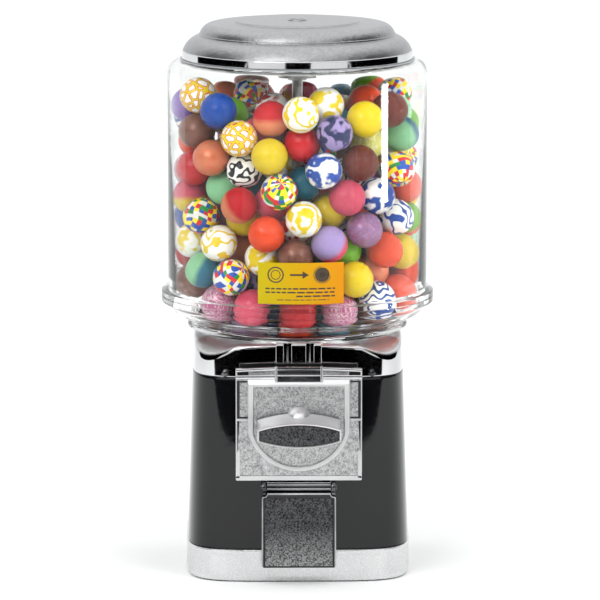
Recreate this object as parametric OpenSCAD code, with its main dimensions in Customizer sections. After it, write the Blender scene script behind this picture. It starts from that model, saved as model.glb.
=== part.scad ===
// Countertop bouncy ball vending machine: a cast base, a tapered steel body, a cast
// collar, a clear globe and a lid that are all clamped together by one centre rod.
// A coin mechanism on the front turns a pocketed wheel under the globe, and each pocket
// drops one ball down a chute to the flap.
// Units are millimetres. The origin is the middle of the footprint on the resting plane,
// +X is the customer's right, -Y is the front and +Z is up.

/* [Base] */
// Half width of the base casting
base_half = 83.1; // [82.9:0.1:83.6]
// Corner radius of the base casting
base_corner = 36; // [34:0.5:38]
// Height of the top of the base casting
base_top = 24.4; // [24.2:0.1:24.4]
// Gap that the rubber feet keep under the base casting
base_gap = 0.8; // [0.5:0.1:1.5]
// Distance between the stand bolt holes, each way
stand_pitch = 76.2; // [70:0.1:80]
// Radius of the stand bolt holes
stand_hole_r = 3.3; // [2.5:0.1:3.5]

/* [Body] */
// Half width of the body at its bottom edge
body_half_low = 82.2; // [82:0.1:82.4]
// Half width of the body at its top edge
body_half_high = 78.4; // [78.3:0.1:78.8]
// Corner radius of the body
body_corner = 35; // [33:0.5:36]
// Sheet thickness of the body
body_wall = 2; // [1.6:0.1:2]
// Height of the joint between body and collar
body_top = 152.7; // [152.5:0.1:153]

/* [Collar] */
// Half width of the collar
collar_half = 78.2; // [78.1:0.1:78.3]
// Radius of the round rim that carries the globe
collar_rim_r = 77.4; // [77.3:0.1:77.6]
// Height of the round rim
collar_top = 181.4; // [181.2:0.1:181.5]

/* [Globe] */
// Outer radius of the globe wall
globe_r = 96.6; // [96.4:0.1:96.8]
// Wall thickness of the globe
globe_wall = 1.8; // [1.6:0.1:2.4]
// Outer radius of the globe flange
flange_r = 101.6; // [100:0.1:103]
// Height of the top of the globe
globe_top = 379.6; // [379:0.1:379.8]

/* [Balls] */
// Diameter of one ball
ball_d = 27; // [26.5:0.1:27]
// Height that the balls reach in the globe
fill_top = 370; // [330:1:370]
// Seed of the ball arrangement
fill_seed = 11; // [1:1:60]

/* [Lid] */
// Radius of the polished band round the lid
lid_r = 86; // [85.5:0.1:86.5]
// Height of the top of the lid
lid_top = 408.3; // [408:0.1:409]
// Sheet thickness of the lid
lid_wall = 2.4; // [2:0.1:2.6]

/* [Drive] */
// Height of the handle shaft
shaft_z = 123.8; // [123.7:0.05:123.9]
// Radius of the handle shaft
shaft_r = 4; // [3.9:0.05:4]
// Number of teeth on the pinion
pinion_teeth = 12; // [12:1:12]
// Number of teeth on the ball wheel
wheel_teeth = 48; // [48:1:48]
// Number of ball pockets in the wheel
pockets = 4; // [4:1:4]
// Radial play of every shaft in its bore
running_play = 0.05; // [0.02:0.01:0.1]

/* [Coin mechanism] */
// Half width of the front plate with its ears
plate_half = 46.2; // [46:0.1:46.4]
// Height of the bottom edge of the front plate
plate_bottom = 78.3; // [78.3:0.1:78.6]
// Height of the top edge of the front plate
plate_top = 163; // [162.8:0.1:163.2]
// Diameter of the coin
coin_d = 21.4; // [20:0.1:21.5]

/* [Flap] */
// Half width of the flap
flap_half = 27.5; // [27:0.1:28]
// Height of the bottom edge of the flap
flap_bottom = 14.2; // [14:0.1:15]
// Height of the flap hinge
hinge_z = 73.1; // [73:0.1:73.1]

/* [Hidden] */
$fn = 96;
eps = 0.1;

// Colours
chrome = "#c9cccf";
dark_chrome = "#6f7275";
steel = "#9a9ea2";
black_paint = "#17181a";
clear = [0.85, 0.92, 0.95, 0.3];

// Base
base_wall = 3.5;
foot_r = 9;
foot_pos = 60;
plate_low = 3;
plate_t = 2;

// Centre rod
rod_r = 4;
rod_low = 1;
rod_top = 371;

// Wheel and tray
tray_floor = 137.9;
tray_t = 2.4;
tray_r = 73.6;
tray_rim_z = 157;
tray_rim_r = 75.9;
tray_rim_t = 1.4;
wheel_low = tray_floor + 0.3;
wheel_high = 166;
wheel_r = 71;
wheel_core_r = 61.5;
gear_top = 144.5;
tooth_root_z = 142;
tooth_tip_z = 138.6;
tooth_r_in = 62.5;
tooth_len = 8;
tooth_root_w = 3.6;
tooth_tip_w = 2;
pocket_r = 14.6;
pocket_pos = 44.5;
drop_hole_r = 14.8;

// Pinion
wheel_pitch_r = tooth_r_in + tooth_len / 2;
pinion_pitch_r = wheel_pitch_r * pinion_teeth / wheel_teeth;
pinion_root_r = 14.4;
pinion_tip_r = 17.9;
pinion_y = [-wheel_pitch_r - tooth_len / 2, -wheel_pitch_r + tooth_len / 2];

// Brush housing
housing_z = 170;
housing_t = 2;
housing_half_angle = 33;

// Stations of the mechanism along Y, from the front
grip_front = -122;
grip_back = -95;
plate_front = -92;
plate_back = -81;
disc_back = -90.1;
recess_back = -89.7;
carrier_y = [-88.3, -82.3];
cavity_front = -89.2;
housing_mid = -76.2;
housing_back = -74.4;
ratchet_y = [-73.9, -71.5];
shaft_end = -61.4;

// Front plate
ring_out_r = 38.4;
ring_in_r = 33;
bezel_t = 2.6;
frame_half = 37.5;
window_half = 32.8;
window_top = 148;
frame_top = 153;
ear_low = 124.3;
ear_high = 152.4;
carrier_r = 29;
coin_slot_y = [-87.2, -84.6];

// Pawl, from the shaft axis
pawl_pos = [30, 7.2];
pawl_boss_r = 3.4;
pawl_pin_r = 1.5;
ratchet_r = 20;

// Chute, as points of its side view
chute_half = 16.5;
chute_wall = 1.4;
chute_front = -82.4;
chute_rear = -28.9;
chute_neck = -60.3;
mouth_half = 22.3;
mouth_low = 24.8;
mouth_high = 61.8;

// Flap
hinge_y = -91;
hinge_pin_r = 1.6;
flap_barrel_r = 4.2;
flap_barrel_half = 23.8;
flap_front = -95;
flap_t = 2.6;
flap_top = 66.3;
post_in = 24.2;
post_out = 26.8;

// Lid and lock
lid_low = 380.5;
spigot_r = 79.5;
lock_r = 7.2;
spindle_r = 1.6;
cam_z = 379.4;
keeper_low = 368;
keeper_high = 387;

// Screws
screw_r = 1.6;

// Outline of a square with round corners
module rounded_square(half, r) {
    square([2 * half, 2 * (half - r)], center = true);
    square([2 * (half - r), 2 * half], center = true);
    for (sx = [-1, 1], sy = [-1, 1])
        translate([sx * (half - r), sy * (half - r)]) circle(r = r);
}

// Upright block with round corners between two heights
module rounded_block(half, r, z0, z1) {
    translate([0, 0, z0]) linear_extrude(height = z1 - z0) rounded_square(half, r);
}

// Round bar or disc on the Z axis between two heights
module disc(r, z0, z1) {
    translate([0, 0, z0]) cylinder(r = r, h = z1 - z0);
}

// Drawing in X and Z, made solid between two places along Y
module slab_xz(y0, y1) {
    translate([0, y1, 0]) rotate([90, 0, 0]) linear_extrude(height = y1 - y0) children();
}

// The same, drawn around the handle shaft
module shaft_slab(span) {
    slab_xz(span[0], span[1]) translate([0, shaft_z]) children();
}

// Drawing in Y and Z, made solid across the middle plane
module slab_yz(half) {
    translate([-half, 0, 0]) rotate([90, 0, 90]) linear_extrude(height = 2 * half) children();
}

// Box from its two opposite corners
module box(low, high) {
    translate(low) cube(high - low);
}

// Ring shaped outline
module ring(r_out, r_in) {
    difference() {
        circle(r = r_out);
        circle(r = r_in);
    }
}

// Points along an arc
function arc(cx, cz, r, a0, a1, n) =
    [for (i = [0 : n]) let (a = a0 + (a1 - a0) * i / n) [cx + r * cos(a), cz + r * sin(a)]];

// Half width of the body's outside at a height
function body_half(z) =
    body_half_low + (body_half_high - body_half_low) * (z - base_top) / (body_top - base_top);

module base() {
    lip = 3;
    ledge_low = plate_low + plate_t;
    color(chrome) difference() {
        rounded_block(base_half, base_corner, base_gap, base_top);
        rounded_block(base_half - base_wall, base_corner - base_wall, ledge_low + lip, base_top + eps);
        rounded_block(base_half - 2 * base_wall, base_corner - 2 * base_wall, 0, base_top);
        rounded_block(base_half - lip, base_corner - lip, 0, ledge_low);
    }
}

module rubber_feet() {
    bevel = 0.6;
    cap_r = 11;
    cap_floor = 0.8;
    nut_room_r = 8;
    color("#2b2b2b") {
        for (sx = [-1, 1], sy = [-1, 1])
            translate([sx * foot_pos, sy * foot_pos, 0])
                rotate_extrude() polygon([
                    [0, 0], [foot_r - bevel, 0], [foot_r, bevel], [foot_r, plate_low], [0, plate_low]
                ]);
        // Pad that caps the rod's lower nut
        rotate_extrude() polygon([
            [0, 0], [cap_r - bevel, 0], [cap_r, bevel], [cap_r, plate_low],
            [nut_room_r, plate_low], [nut_room_r, cap_floor], [0, cap_floor]
        ]);
    }
}

module base_plate() {
    half = base_half - 3.2;
    color(steel) difference() {
        rounded_block(half, base_corner - 3.2, plate_low, plate_low + plate_t);
        disc(rod_r + 0.1, 0, base_top);
        for (sx = [-1, 1], sy = [-1, 1])
            translate([sx * stand_pitch / 2, sy * stand_pitch / 2, 0])
                cylinder(r = stand_hole_r, h = base_top);
    }
}

// Tapered tube with round corners, from the base to the collar
module body_taper(inset, over) {
    slice = 0.01;
    hull() {
        translate([0, 0, base_top - over]) linear_extrude(height = slice)
            rounded_square(body_half(base_top - over) - inset, body_corner - inset, $fn = 64);
        translate([0, 0, body_top + over - slice]) linear_extrude(height = slice)
            rounded_square(body_half(body_top + over) - inset, body_corner - inset, $fn = 64);
    }
}

module body_shell() {
    mech_half = 36.4;
    mech_low = 87.6;
    mouth_play = 0.4;
    roof_room = 1.4;
    color(black_paint) difference() {
        body_taper(0, 0);
        body_taper(body_wall, 1);
        box([-mech_half, -base_half, mech_low], [mech_half, -60, body_top + 1]);
        box([-mouth_half - mouth_play, -base_half, mouth_low - 0.2],
            [mouth_half + mouth_play, -60, mouth_high + roof_room]);
    }
}

// Outline of the collar's top: a nearly level shoulder round the rim, then a steeper fall that
// cuts off the four corners
module collar_cone(drop, low) {
    fall_r = 90;
    fall_z = 176.2;
    cone_r = 100;
    cone_low = 163.7;
    rotate_extrude() polygon([
        [0, low], [cone_r, low], [cone_r, cone_low - drop], [fall_r, fall_z - drop],
        [collar_rim_r, 178 - drop], [collar_rim_r, collar_top - drop], [0, collar_top - drop]
    ]);
}

// The collar's square sides, which lean in as the body's do
module collar_taper(inset, low) {
    slice = 0.01;
    draft = (body_half_low - body_half_high) / (body_top - base_top);
    hull() for (z = [low, collar_top - slice])
        translate([0, 0, z]) linear_extrude(height = slice)
            rounded_square(collar_half - draft * (z - body_top) - inset, body_corner - inset, $fn = 64);
}

module top_collar() {
    wall = 2.6;
    seat_r = tray_rim_r + 0.2;
    latch_front = -82.8;
    latch_low = 163.2;
    latch_high = 178.6;
    latch_columns = [[-15.7, -10.2], [-5.3, 5.3], [10.2, 15.7]];
    color(chrome) {
        difference() {
            intersection() {
                collar_taper(0, body_top);
                collar_cone(0, body_top);
            }
            disc(tray_r + 0.2, body_top - 1, collar_top);
            disc(seat_r, tray_rim_z, collar_top + 1);
            difference() {
                intersection() {
                    collar_taper(wall, body_top - 1);
                    collar_cone(2 * wall, body_top - 1);
                }
                disc(collar_rim_r, body_top - 2, collar_top + 1);
            }
            for (sx = [-1, 1], turn = [0, 180])
                rotate([0, 0, turn]) translate([sx * 54, -76, 156])
                    rotate([90, 0, 0]) cylinder(r = screw_r, h = 4);
        }
        for (c = latch_columns)
            box([c[0], latch_front, latch_low], [c[1], -collar_rim_r, latch_high]);
        box([-16.8, latch_front + 2.6, latch_low], [16.8, -collar_rim_r, latch_high + 0.6]);
    }
}

module collar_screws() {
    head_r = 2.7;
    head_t = 1.4;
    shank = 2.2;
    color(chrome) for (sx = [-1, 1], turn = [0, 180])
        rotate([0, 0, turn]) translate([sx * 54, -collar_half, 156]) rotate([90, 0, 0]) {
            translate([0, 0, -shank]) cylinder(r = screw_r, h = shank + eps);
            rotate_extrude() polygon(concat(
                [[0, 0]], [for (a = [0 : 15 : 90]) [head_r * cos(a), head_t * sin(a)]]
            ));
        }
}

module wheel_tray() {
    window_x = 22;
    window_top = 145.5;
    color("#d8d8d2") difference() {
        union() {
            disc(tray_r, tray_floor - tray_t, tray_rim_z + tray_rim_t);
            disc(tray_rim_r, tray_rim_z, tray_rim_z + tray_rim_t);
        }
        disc(tray_r - 1.6, tray_floor, tray_rim_z + tray_rim_t + 1);
        disc(rod_r + 0.1, 0, tray_rim_z);
        translate([0, -pocket_pos, 0]) disc(drop_hole_r, 0, tray_rim_z);
        box([-window_x, -80, 130], [window_x, pinion_y[1] + 0.6, window_top]);
    }
}

module ball_wheel() {
    color("#e8e6df") difference() {
        union() {
            disc(wheel_core_r, wheel_low, wheel_high);
            disc(wheel_r, gear_top, wheel_high);
        }
        disc(rod_r + running_play, wheel_low - 1, wheel_high + 1);
        for (i = [0 : pockets - 1])
            rotate([0, 0, i * 360 / pockets]) translate([0, -pocket_pos, 0])
                disc(pocket_r, wheel_low - 1, wheel_high + 1);
    }
}

// Ring of face teeth under the rim of the wheel
module wheel_gear() {
    tooth_sink = 0.3;
    color("#d9c27a") {
        translate([0, 0, tooth_root_z]) linear_extrude(height = gear_top - tooth_root_z)
            ring(wheel_r, wheel_core_r);
        for (i = [0 : wheel_teeth - 1])
            rotate([0, 0, (i + 0.5) * 360 / wheel_teeth - 90])
                translate([tooth_r_in, 0, 0]) rotate([90, 0, 90])
                    linear_extrude(height = tooth_len) polygon([
                        [-tooth_root_w / 2, tooth_root_z + tooth_sink],
                        [-tooth_tip_w / 2, tooth_tip_z],
                        [tooth_tip_w / 2, tooth_tip_z],
                        [tooth_root_w / 2, tooth_root_z + tooth_sink]
                    ]);
    }
}

// Part of a ring around the front of the machine
module front_sector(r_out, r_in) {
    far = 100;
    intersection() {
        ring(r_out, r_in);
        polygon([[0, 0], [-far * tan(housing_half_angle), -far], [far * tan(housing_half_angle), -far]]);
    }
}

module brush_housing() {
    color("#b9bcbf") {
        translate([0, 0, housing_z]) linear_extrude(height = housing_t)
            front_sector(tray_rim_r, 6);
        translate([0, 0, tray_rim_z + tray_rim_t])
            linear_extrude(height = housing_z - tray_rim_z - tray_rim_t + eps)
                front_sector(tray_rim_r, 72.4);
    }
}

module brush_strips() {
    color("#33302c") for (s = [-1, 1])
        rotate([0, 0, -90 + s * (housing_half_angle - 4)])
            box([26, -1, wheel_high + 0.4], [62, 1, housing_z]);
}

// Outside and inside outlines of the globe
shoulder_r = 9.6;
bowl_in = [76.2, 185.2];
wall_in = [globe_r - globe_wall, 199.3];

module globe() {
    shoulder = [globe_r - shoulder_r, globe_top - shoulder_r];
    neck_r = 80.5;
    outside = [
        [75.8, collar_top + 0.1], [78.3, collar_top + 0.1], [78.3, 180], [82, 180], [82, 182.4],
        [79.4, 183.4], [81.5, 186], [85.2, 187.2], [91.2, 190.2], [94.6, 193.6], [97.9, 197.8],
        [flange_r - 0.6, 199.4], [flange_r, 200], [flange_r, 203.2], [flange_r - 0.5, 203.5],
        [flange_r, 203.8], [flange_r, 206.9], [flange_r - 0.6, 207.5], [98.4, 207.9],
        [97.2, 208.6], [globe_r, 209.6]
    ];
    inside = [
        [wall_in[0], 199], [92.6, 195.6], [89.6, 192.6], [84.2, 189.6], [80.6, 188.2],
        [77.6, 185.8], [75.8, 183.8]
    ];
    color(clear) rotate_extrude() polygon(concat(
        outside,
        arc(shoulder[0], shoulder[1], shoulder_r, 0, 90, 12),
        [[neck_r, globe_top], [neck_r, globe_top - globe_wall]],
        arc(shoulder[0], shoulder[1], shoulder_r - globe_wall, 90, 0, 12),
        inside
    ));
}

module globe_seal() {
    color("#8b9096") translate([0, 0, globe_top]) linear_extrude(height = 0.7) ring(87, 81);
}

// Ball filling. Each ball takes the lowest of several seeded places, where it rests on the
// floor of the globe or on the balls before it.
ball_r = ball_d / 2;
ball_play = 0.3;
rim_pos = wall_in[0] - ball_r - ball_play;
rod_pos = rod_r + ball_r + ball_play;
keeper_near = 30;
tries = 160;
recent = 130;
bowl_slope = (wall_in[1] - bowl_in[1]) / (wall_in[0] - bowl_in[0]);
bowl_lift = (ball_r + ball_play) * sqrt(1 + bowl_slope * bowl_slope);

// Lowest centre height over the wheel, the brush housing or the sloping bowl
function floor_z(p) =
    let (
        r = norm(p),
        over_housing = p[1] < 0 && abs(atan2(p[0], -p[1])) < housing_half_angle + 16,
        floor_top = over_housing ? housing_z + housing_t : wheel_high
    )
    max(floor_top + ball_r + ball_play, bowl_in[1] + bowl_slope * (r - bowl_in[0]) + bowl_lift);

// Height at which a ball over the point p comes to rest on the balls in the list
function rest_z(p, balls) =
    let (
        first = max(0, len(balls) - recent),
        reach = ball_d + 0.05,
        heights = [
            for (i = [first : 1 : len(balls) - 1])
                let (dx = p[0] - balls[i][0], dy = p[1] - balls[i][1], d2 = dx * dx + dy * dy)
                    if (d2 < reach * reach) balls[i][2] + sqrt(reach * reach - d2)
        ]
    )
    max(concat([floor_z(p)], heights));

// Seeded places for ball number n: two in three of them touch the wall
function places(n) =
    let (
        angles = rands(0, 360, tries, fill_seed + 2 * n),
        radii = rands(rod_pos * rod_pos, rim_pos * rim_pos, tries, fill_seed + 2 * n + 1)
    )
    [
        for (i = [0 : tries - 1])
            let (r = i % 3 == 0 ? sqrt(radii[i]) : rim_pos) [r * cos(angles[i]), r * sin(angles[i])]
    ];

function lowest(spots) =
    let (low = min([for (s = spots) s[2]]))
    [for (s = spots) if (s[2] == low) s][0];

// The balls stay a little lower near the rod, under its nut and keeper
function room_over(p) = norm(p) < keeper_near ? min(fill_top, keeper_low - 2) : fill_top;

function fill(balls, n) =
    let (
        spots = [for (p = places(n)) [p[0], p[1], rest_z(p, balls)]],
        free = [for (s = spots) if (s[2] + ball_r < room_over([s[0], s[1]])) s]
    )
    len(free) == 0 ? balls : fill(concat(balls, [lowest(free)]), n + 1);

module bouncy_balls() {
    color("#e2603a") for (b = fill([], 0))
        translate(b) sphere(r = ball_r);
}

module price_label() {
    gap = 0.1;
    label_t = 0.35;
    color("#f2b632") intersection() {
        translate([0, 0, 209.9]) linear_extrude(height = 30.6)
            ring(globe_r + gap + label_t, globe_r + gap);
        box([-29.9, -110, 200], [32.8, -80, 250]);
    }
}

module centre_rod() {
    color(steel) disc(rod_r, rod_low, rod_top);
}

module rod_nuts() {
    color(steel) for (z = [[rod_low, plate_low], [keeper_low - 3, keeper_low]])
        difference() {
            translate([0, 0, z[0]]) cylinder(r = 7, h = z[1] - z[0], $fn = 6);
            disc(rod_r, 0, rod_top);
        }
}

module rod_keeper() {
    slot = [20, 8];
    color(steel) difference() {
        disc(14, keeper_low, keeper_high);
        disc(11.5, rod_top, keeper_high - 3);
        disc(rod_r, keeper_low - 1, rod_top + 1);
        box([-slot[0] / 2, -slot[1] / 2, rod_top], [slot[0] / 2, slot[1] / 2, keeper_high + 1]);
    }
}

// Outline of the lid's dome, set in by a wall thickness
function lid_curve(inset) = concat(
    arc(69, 381, 17 - inset, 17, 75, 10),
    arc(63, 396.4, 9.8 - inset, 12, 80, 8),
    [[46, lid_top - 0.9 - inset], [44, lid_top - inset]]
);

module lid() {
    web_t = 2;
    color("#b4b6b8") difference() {
        rotate_extrude() union() {
            polygon(concat(
                [[lid_r, lid_low], [lid_r, 386]], lid_curve(0), [[lock_r + 0.05, lid_top]],
                [[lock_r + 0.05, lid_top - lid_wall]],
                [for (i = [len(lid_curve(0)) - 1 : -1 : 0]) lid_curve(lid_wall)[i]],
                [[lid_r - lid_wall, 385], [lid_r - lid_wall, lid_low]]
            ));
            polygon([
                [lid_r, lid_low], [lid_r, lid_low + web_t], [spigot_r - 2, lid_low + web_t],
                [spigot_r - 2, 376], [spigot_r, 376], [spigot_r, lid_low]
            ]);
        }
    }
}

module lock_barrel() {
    color("#8d8f91") difference() {
        union() {
            disc(lock_r, 395, lid_top + 0.8);
            disc(spindle_r, cam_z, 395 + eps);
        }
        box([-0.7, -3.4, lid_top - 2], [0.7, 3.4, lid_top + 2]);
    }
}

module lock_cam() {
    cam = [17, 5, 3];
    color(steel) difference() {
        box([-cam[0] / 2, -cam[1] / 2, cam_z], [cam[0] / 2, cam[1] / 2, cam_z + cam[2]]);
        disc(spindle_r, cam_z - 1, cam_z + cam[2] + 1);
    }
}

// Outline of the front plate: ears, tapered shoulders and the long bottom edge
module plate_outline() {
    polygon([
        [-plate_half, plate_bottom], [plate_half, plate_bottom], [plate_half, ear_high],
        [frame_half, frame_top], [frame_half, 157.9], [plate_half - 2, 158.4],
        [plate_half - 2, plate_top - 1], [plate_half - 4, plate_top],
        [4 - plate_half, plate_top], [2 - plate_half, plate_top - 1],
        [2 - plate_half, 158.4], [-frame_half, 157.9], [-frame_half, frame_top],
        [-plate_half, ear_high]
    ]);
}

// Raised bezel: two uprights that run down into a round ring
module bezel_outline() {
    difference() {
        union() {
            translate([0, shaft_z]) circle(r = ring_out_r);
            translate([-frame_half, shaft_z]) square([2 * frame_half, frame_top - shaft_z]);
        }
        translate([0, shaft_z]) circle(r = ring_in_r);
        polygon([
            [-window_half, shaft_z], [window_half, shaft_z],
            [window_half, window_top - 8], [window_half - 4, window_top],
            [4 - window_half, window_top], [-window_half, window_top - 8]
        ]);
    }
}

module mech_plate() {
    slot_half = coin_d / 2 + 0.9;
    bore_r = 9.6;
    ear_depth = 1.2;
    top_t = 3.2;
    deep_top = 157;
    color(chrome) difference() {
        union() {
            slab_xz(plate_front, plate_front + top_t) plate_outline();
            slab_xz(plate_front, plate_back)
                intersection() {
                    plate_outline();
                    translate([-plate_half, plate_bottom]) square([2 * plate_half, deep_top - plate_bottom]);
                }
            slab_xz(plate_front - bezel_t, plate_front + eps) bezel_outline();
            box([-17, plate_front - 1.6, 149], [17, plate_front + eps, plate_top]);
            slab_xz(plate_front - 1.2, plate_front + eps)
                translate([-plate_half, plate_bottom]) square([2 * plate_half, 3]);
        }
        shaft_slab([plate_front - 0.2, recess_back]) circle(r = ring_in_r);
        shaft_slab([plate_front, plate_back]) circle(r = bore_r);
        shaft_slab([cavity_front, plate_back + 1]) circle(r = carrier_r + 0.6);
        box([-slot_half, cavity_front, 89.5], [slot_half, plate_back + 1, shaft_z]);
        box([-slot_half, coin_slot_y[0], shaft_z], [slot_half, coin_slot_y[1], plate_top + 1]);
        for (s = [-1, 1])
            slab_xz(plate_front - 1, plate_front + ear_depth)
                translate([s * (frame_half + plate_half) / 2, (ear_low + ear_high) / 2])
                    square([plate_half - frame_half - 3, ear_high - ear_low - 3.4], center = true);
        for (s = [-1, 1], z = [92, 147])
            translate([s * 32, plate_back + 1, z]) rotate([90, 0, 0]) cylinder(r = screw_r, h = 6);
    }
}

module mech_housing() {
    front_half = 36;
    flange_half = 41;
    low = 88;
    high = 151;
    exit_half = 12.5;
    color(steel) difference() {
        union() {
            slab_xz(plate_back, housing_mid)
                translate([-front_half, low]) square([2 * front_half, high - low]);
            slab_xz(housing_mid, housing_back)
                translate([-flange_half, low - 2]) square([2 * flange_half, high - low + 2]);
        }
        shaft_slab([plate_back - 1, housing_back + 1]) circle(r = shaft_r + running_play);
        shaft_slab([plate_back - 1, housing_back + 1]) translate(pawl_pos) circle(r = pawl_pin_r);
        box([-exit_half, plate_back - 1, low + 1.5], [exit_half, housing_back + 1, 101]);
        for (s = [-1, 1], z = [92, 147])
            translate([s * 32, housing_back + 1, z]) rotate([90, 0, 0]) cylinder(r = screw_r, h = 10);
    }
}

module mech_screws() {
    head_r = 3;
    head_t = 1.8;
    color("#5b5e61") for (s = [-1, 1], z = [92, 147])
        translate([s * 32, housing_back, z]) rotate([90, 0, 0]) {
            translate([0, 0, -head_t]) cylinder(r = head_r, h = head_t);
            cylinder(r = screw_r, h = 10);
        }
}

// Lens outline: two shallow arcs cut off at the ends
module lens(half_w, half_h) {
    bow_r = 97;
    steps = 10;
    drop = [for (i = [-steps : steps]) let (x = half_w * i / steps)
        [x, half_h - bow_r + sqrt(bow_r * bow_r - x * x)]];
    polygon(concat(drop, [for (i = [2 * steps : -1 : 0]) [drop[i][0], -drop[i][1]]]));
}

module handle_grip() {
    slice = 0.01;
    root = [31, 11.6];
    nose = [30.6, 9.3];
    root_drop = 6.2;
    nose_drop = 7.1;
    rim = 1.3;
    color(dark_chrome) difference() {
        hull() {
            shaft_slab([grip_back - slice, grip_back]) translate([0, -root_drop]) lens(root[0], root[1]);
            shaft_slab([grip_front, grip_front + slice]) translate([0, -nose_drop]) lens(nose[0], nose[1]);
        }
        shaft_slab([grip_front - 1, grip_front + 1.2])
            translate([0, -nose_drop]) lens(nose[0] - rim, nose[1] - rim);
        shaft_slab([-104, grip_back + 1]) circle(r = shaft_r);
    }
}

module handle_disc() {
    hub_r = 9.2;
    color(dark_chrome) difference() {
        union() {
            shaft_slab([plate_front + 0.1, disc_back]) circle(r = ring_in_r - 0.5);
            shaft_slab([grip_back, carrier_y[0]]) circle(r = hub_r);
        }
        shaft_slab([grip_front, carrier_y[0] + 1]) circle(r = shaft_r);
    }
}

module handle_shaft() {
    color(steel) shaft_slab([-104, shaft_end]) circle(r = shaft_r);
}

module coin_carrier() {
    notch_half = coin_d / 2 + 0.4;
    notch_low = 8.4;
    color("#a98f4d") shaft_slab(carrier_y) difference() {
        circle(r = carrier_r);
        circle(r = shaft_r);
        translate([-notch_half, notch_low]) square([2 * notch_half, carrier_r]);
    }
}

module ratchet_wheel() {
    teeth = 12;
    root_r = 16.8;
    color(steel) shaft_slab(ratchet_y) difference() {
        polygon([for (i = [0 : teeth - 1], t = [0, 1])
            let (a = (i + t * 0.04) * 360 / teeth) (t == 0 ? ratchet_r : root_r) * [cos(a), sin(a)]]);
        circle(r = shaft_r);
    }
}

module drive_pinion() {
    root_w = 3.6;
    tip_w = 1.9;
    sink = 0.6;
    color("#d9c27a") {
        shaft_slab(pinion_y) difference() {
            union() {
                circle(r = pinion_root_r);
                for (i = [0 : pinion_teeth - 1]) rotate(90 + i * 360 / pinion_teeth) polygon([
                    [pinion_root_r - sink, -root_w / 2], [pinion_tip_r, -tip_w / 2],
                    [pinion_tip_r, tip_w / 2], [pinion_root_r - sink, root_w / 2]
                ]);
            }
            circle(r = shaft_r);
        }
        shaft_slab([ratchet_y[1], pinion_y[0]]) ring(8, shaft_r);
    }
}

module shaft_clip() {
    color("#4d5053") shaft_slab([pinion_y[1], shaft_end - 0.3]) difference() {
        ring(6.4, shaft_r);
        translate([-1.6, -8]) square([3.2, 6]);
    }
}

module pawl() {
    color(steel) shaft_slab(ratchet_y) difference() {
        union() {
            translate(pawl_pos) circle(r = pawl_boss_r);
            polygon([
                pawl_pos + [-2.9, 1.4], [20.9, -1.6], [21.4, -4.2], pawl_pos + [2.6, -2]
            ]);
        }
        translate(pawl_pos) circle(r = pawl_pin_r + running_play);
    }
}

module pawl_pin() {
    color(steel) {
        shaft_slab([-78, -68.2]) translate(pawl_pos) circle(r = pawl_pin_r);
        shaft_slab([-68.2, -67.4]) translate(pawl_pos) circle(r = 3);
    }
}

// Round wire wound into a coil along Z
module coil(r, wire_r, pitch, turns) {
    sides = 6;
    steps = 16;
    rings = [
        for (k = [0 : turns * steps])
            [for (s = [0 : sides - 1])
                let (a = 360 * k / steps, b = 360 * s / sides, q = r + wire_r * cos(b))
                [q * cos(a), q * sin(a), pitch * k / steps + wire_r * sin(b)]]
    ];
    last = len(rings) - 1;
    polyhedron(
        points = [for (loop = rings, p = loop) p],
        faces = concat(
            [[for (s = [0 : sides - 1]) s]],
            [for (k = [0 : last - 1], s = [0 : sides - 1])
                [k * sides + s, (k + 1) * sides + s,
                 (k + 1) * sides + (s + 1) % sides, k * sides + (s + 1) % sides]],
            [[for (s = [sides - 1 : -1 : 0]) last * sides + s]]
        )
    );
}

module pawl_spring() {
    wire_r = 0.28;
    color("#b8bcc0") translate([pawl_pos[0], -68.7, shaft_z + pawl_pos[1]])
        rotate([90, 0, 0]) coil(2.2, wire_r, 0.7, 3);
}

module ball_chute() {
    top = tray_floor - tray_t;
    wall = chute_wall;
    rear_z = 49;
    roof_z = 70;
    low = mouth_low + 0.6;
    high = mouth_high - 0.4;
    color("#c4c6c4") difference() {
        slab_yz(chute_half) polygon([
            [chute_neck, top], [chute_rear, top], [chute_rear, rear_z], [chute_front, low],
            [chute_front, high], [chute_neck, roof_z]
        ]);
        slab_yz(chute_half - wall) polygon([
            [chute_neck + wall, top + 1], [chute_rear - wall, top + 1],
            [chute_rear - wall, rear_z + 1.8 * wall / 2], [chute_front - 1, low + wall],
            [chute_front - 1, high - 1.2 * wall], [chute_neck + wall, roof_z - wall]
        ]);
    }
}

module coin_deflector() {
    sheet = 1.2;
    color(steel) slab_xz(-74, chute_neck) union() {
        polygon([[-21, 71], [chute_half, 84.6], [chute_half, 84.6 + sheet], [-21, 71 + sheet]]);
        translate([chute_half, 64]) square([sheet, 84.6 + sheet - 64]);
    }
}

// Outline of the cash tray with its notch for the chute
module tray_outline(inset) {
    notch = 19;
    difference() {
        rounded_square(74 - inset, 30 - inset);
        translate([-notch - inset, -90]) square([2 * (notch + inset), 38 + inset]);
    }
}

module cash_tray() {
    low = plate_low + plate_t;
    floor_low = low + 6;
    high = 36;
    sheet = 1.2;
    tube_r = 6.4;
    color("#8f9497") difference() {
        translate([0, 0, low]) linear_extrude(height = high - low) tray_outline(0);
        difference() {
            union() {
                translate([0, 0, low - 1]) linear_extrude(height = floor_low - low + 1)
                    tray_outline(sheet);
                translate([0, 0, floor_low + sheet]) linear_extrude(height = high)
                    tray_outline(sheet);
            }
            disc(tube_r, 0, high + 1);
        }
        disc(tube_r - sheet, 0, high + 1);
    }
}

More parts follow.
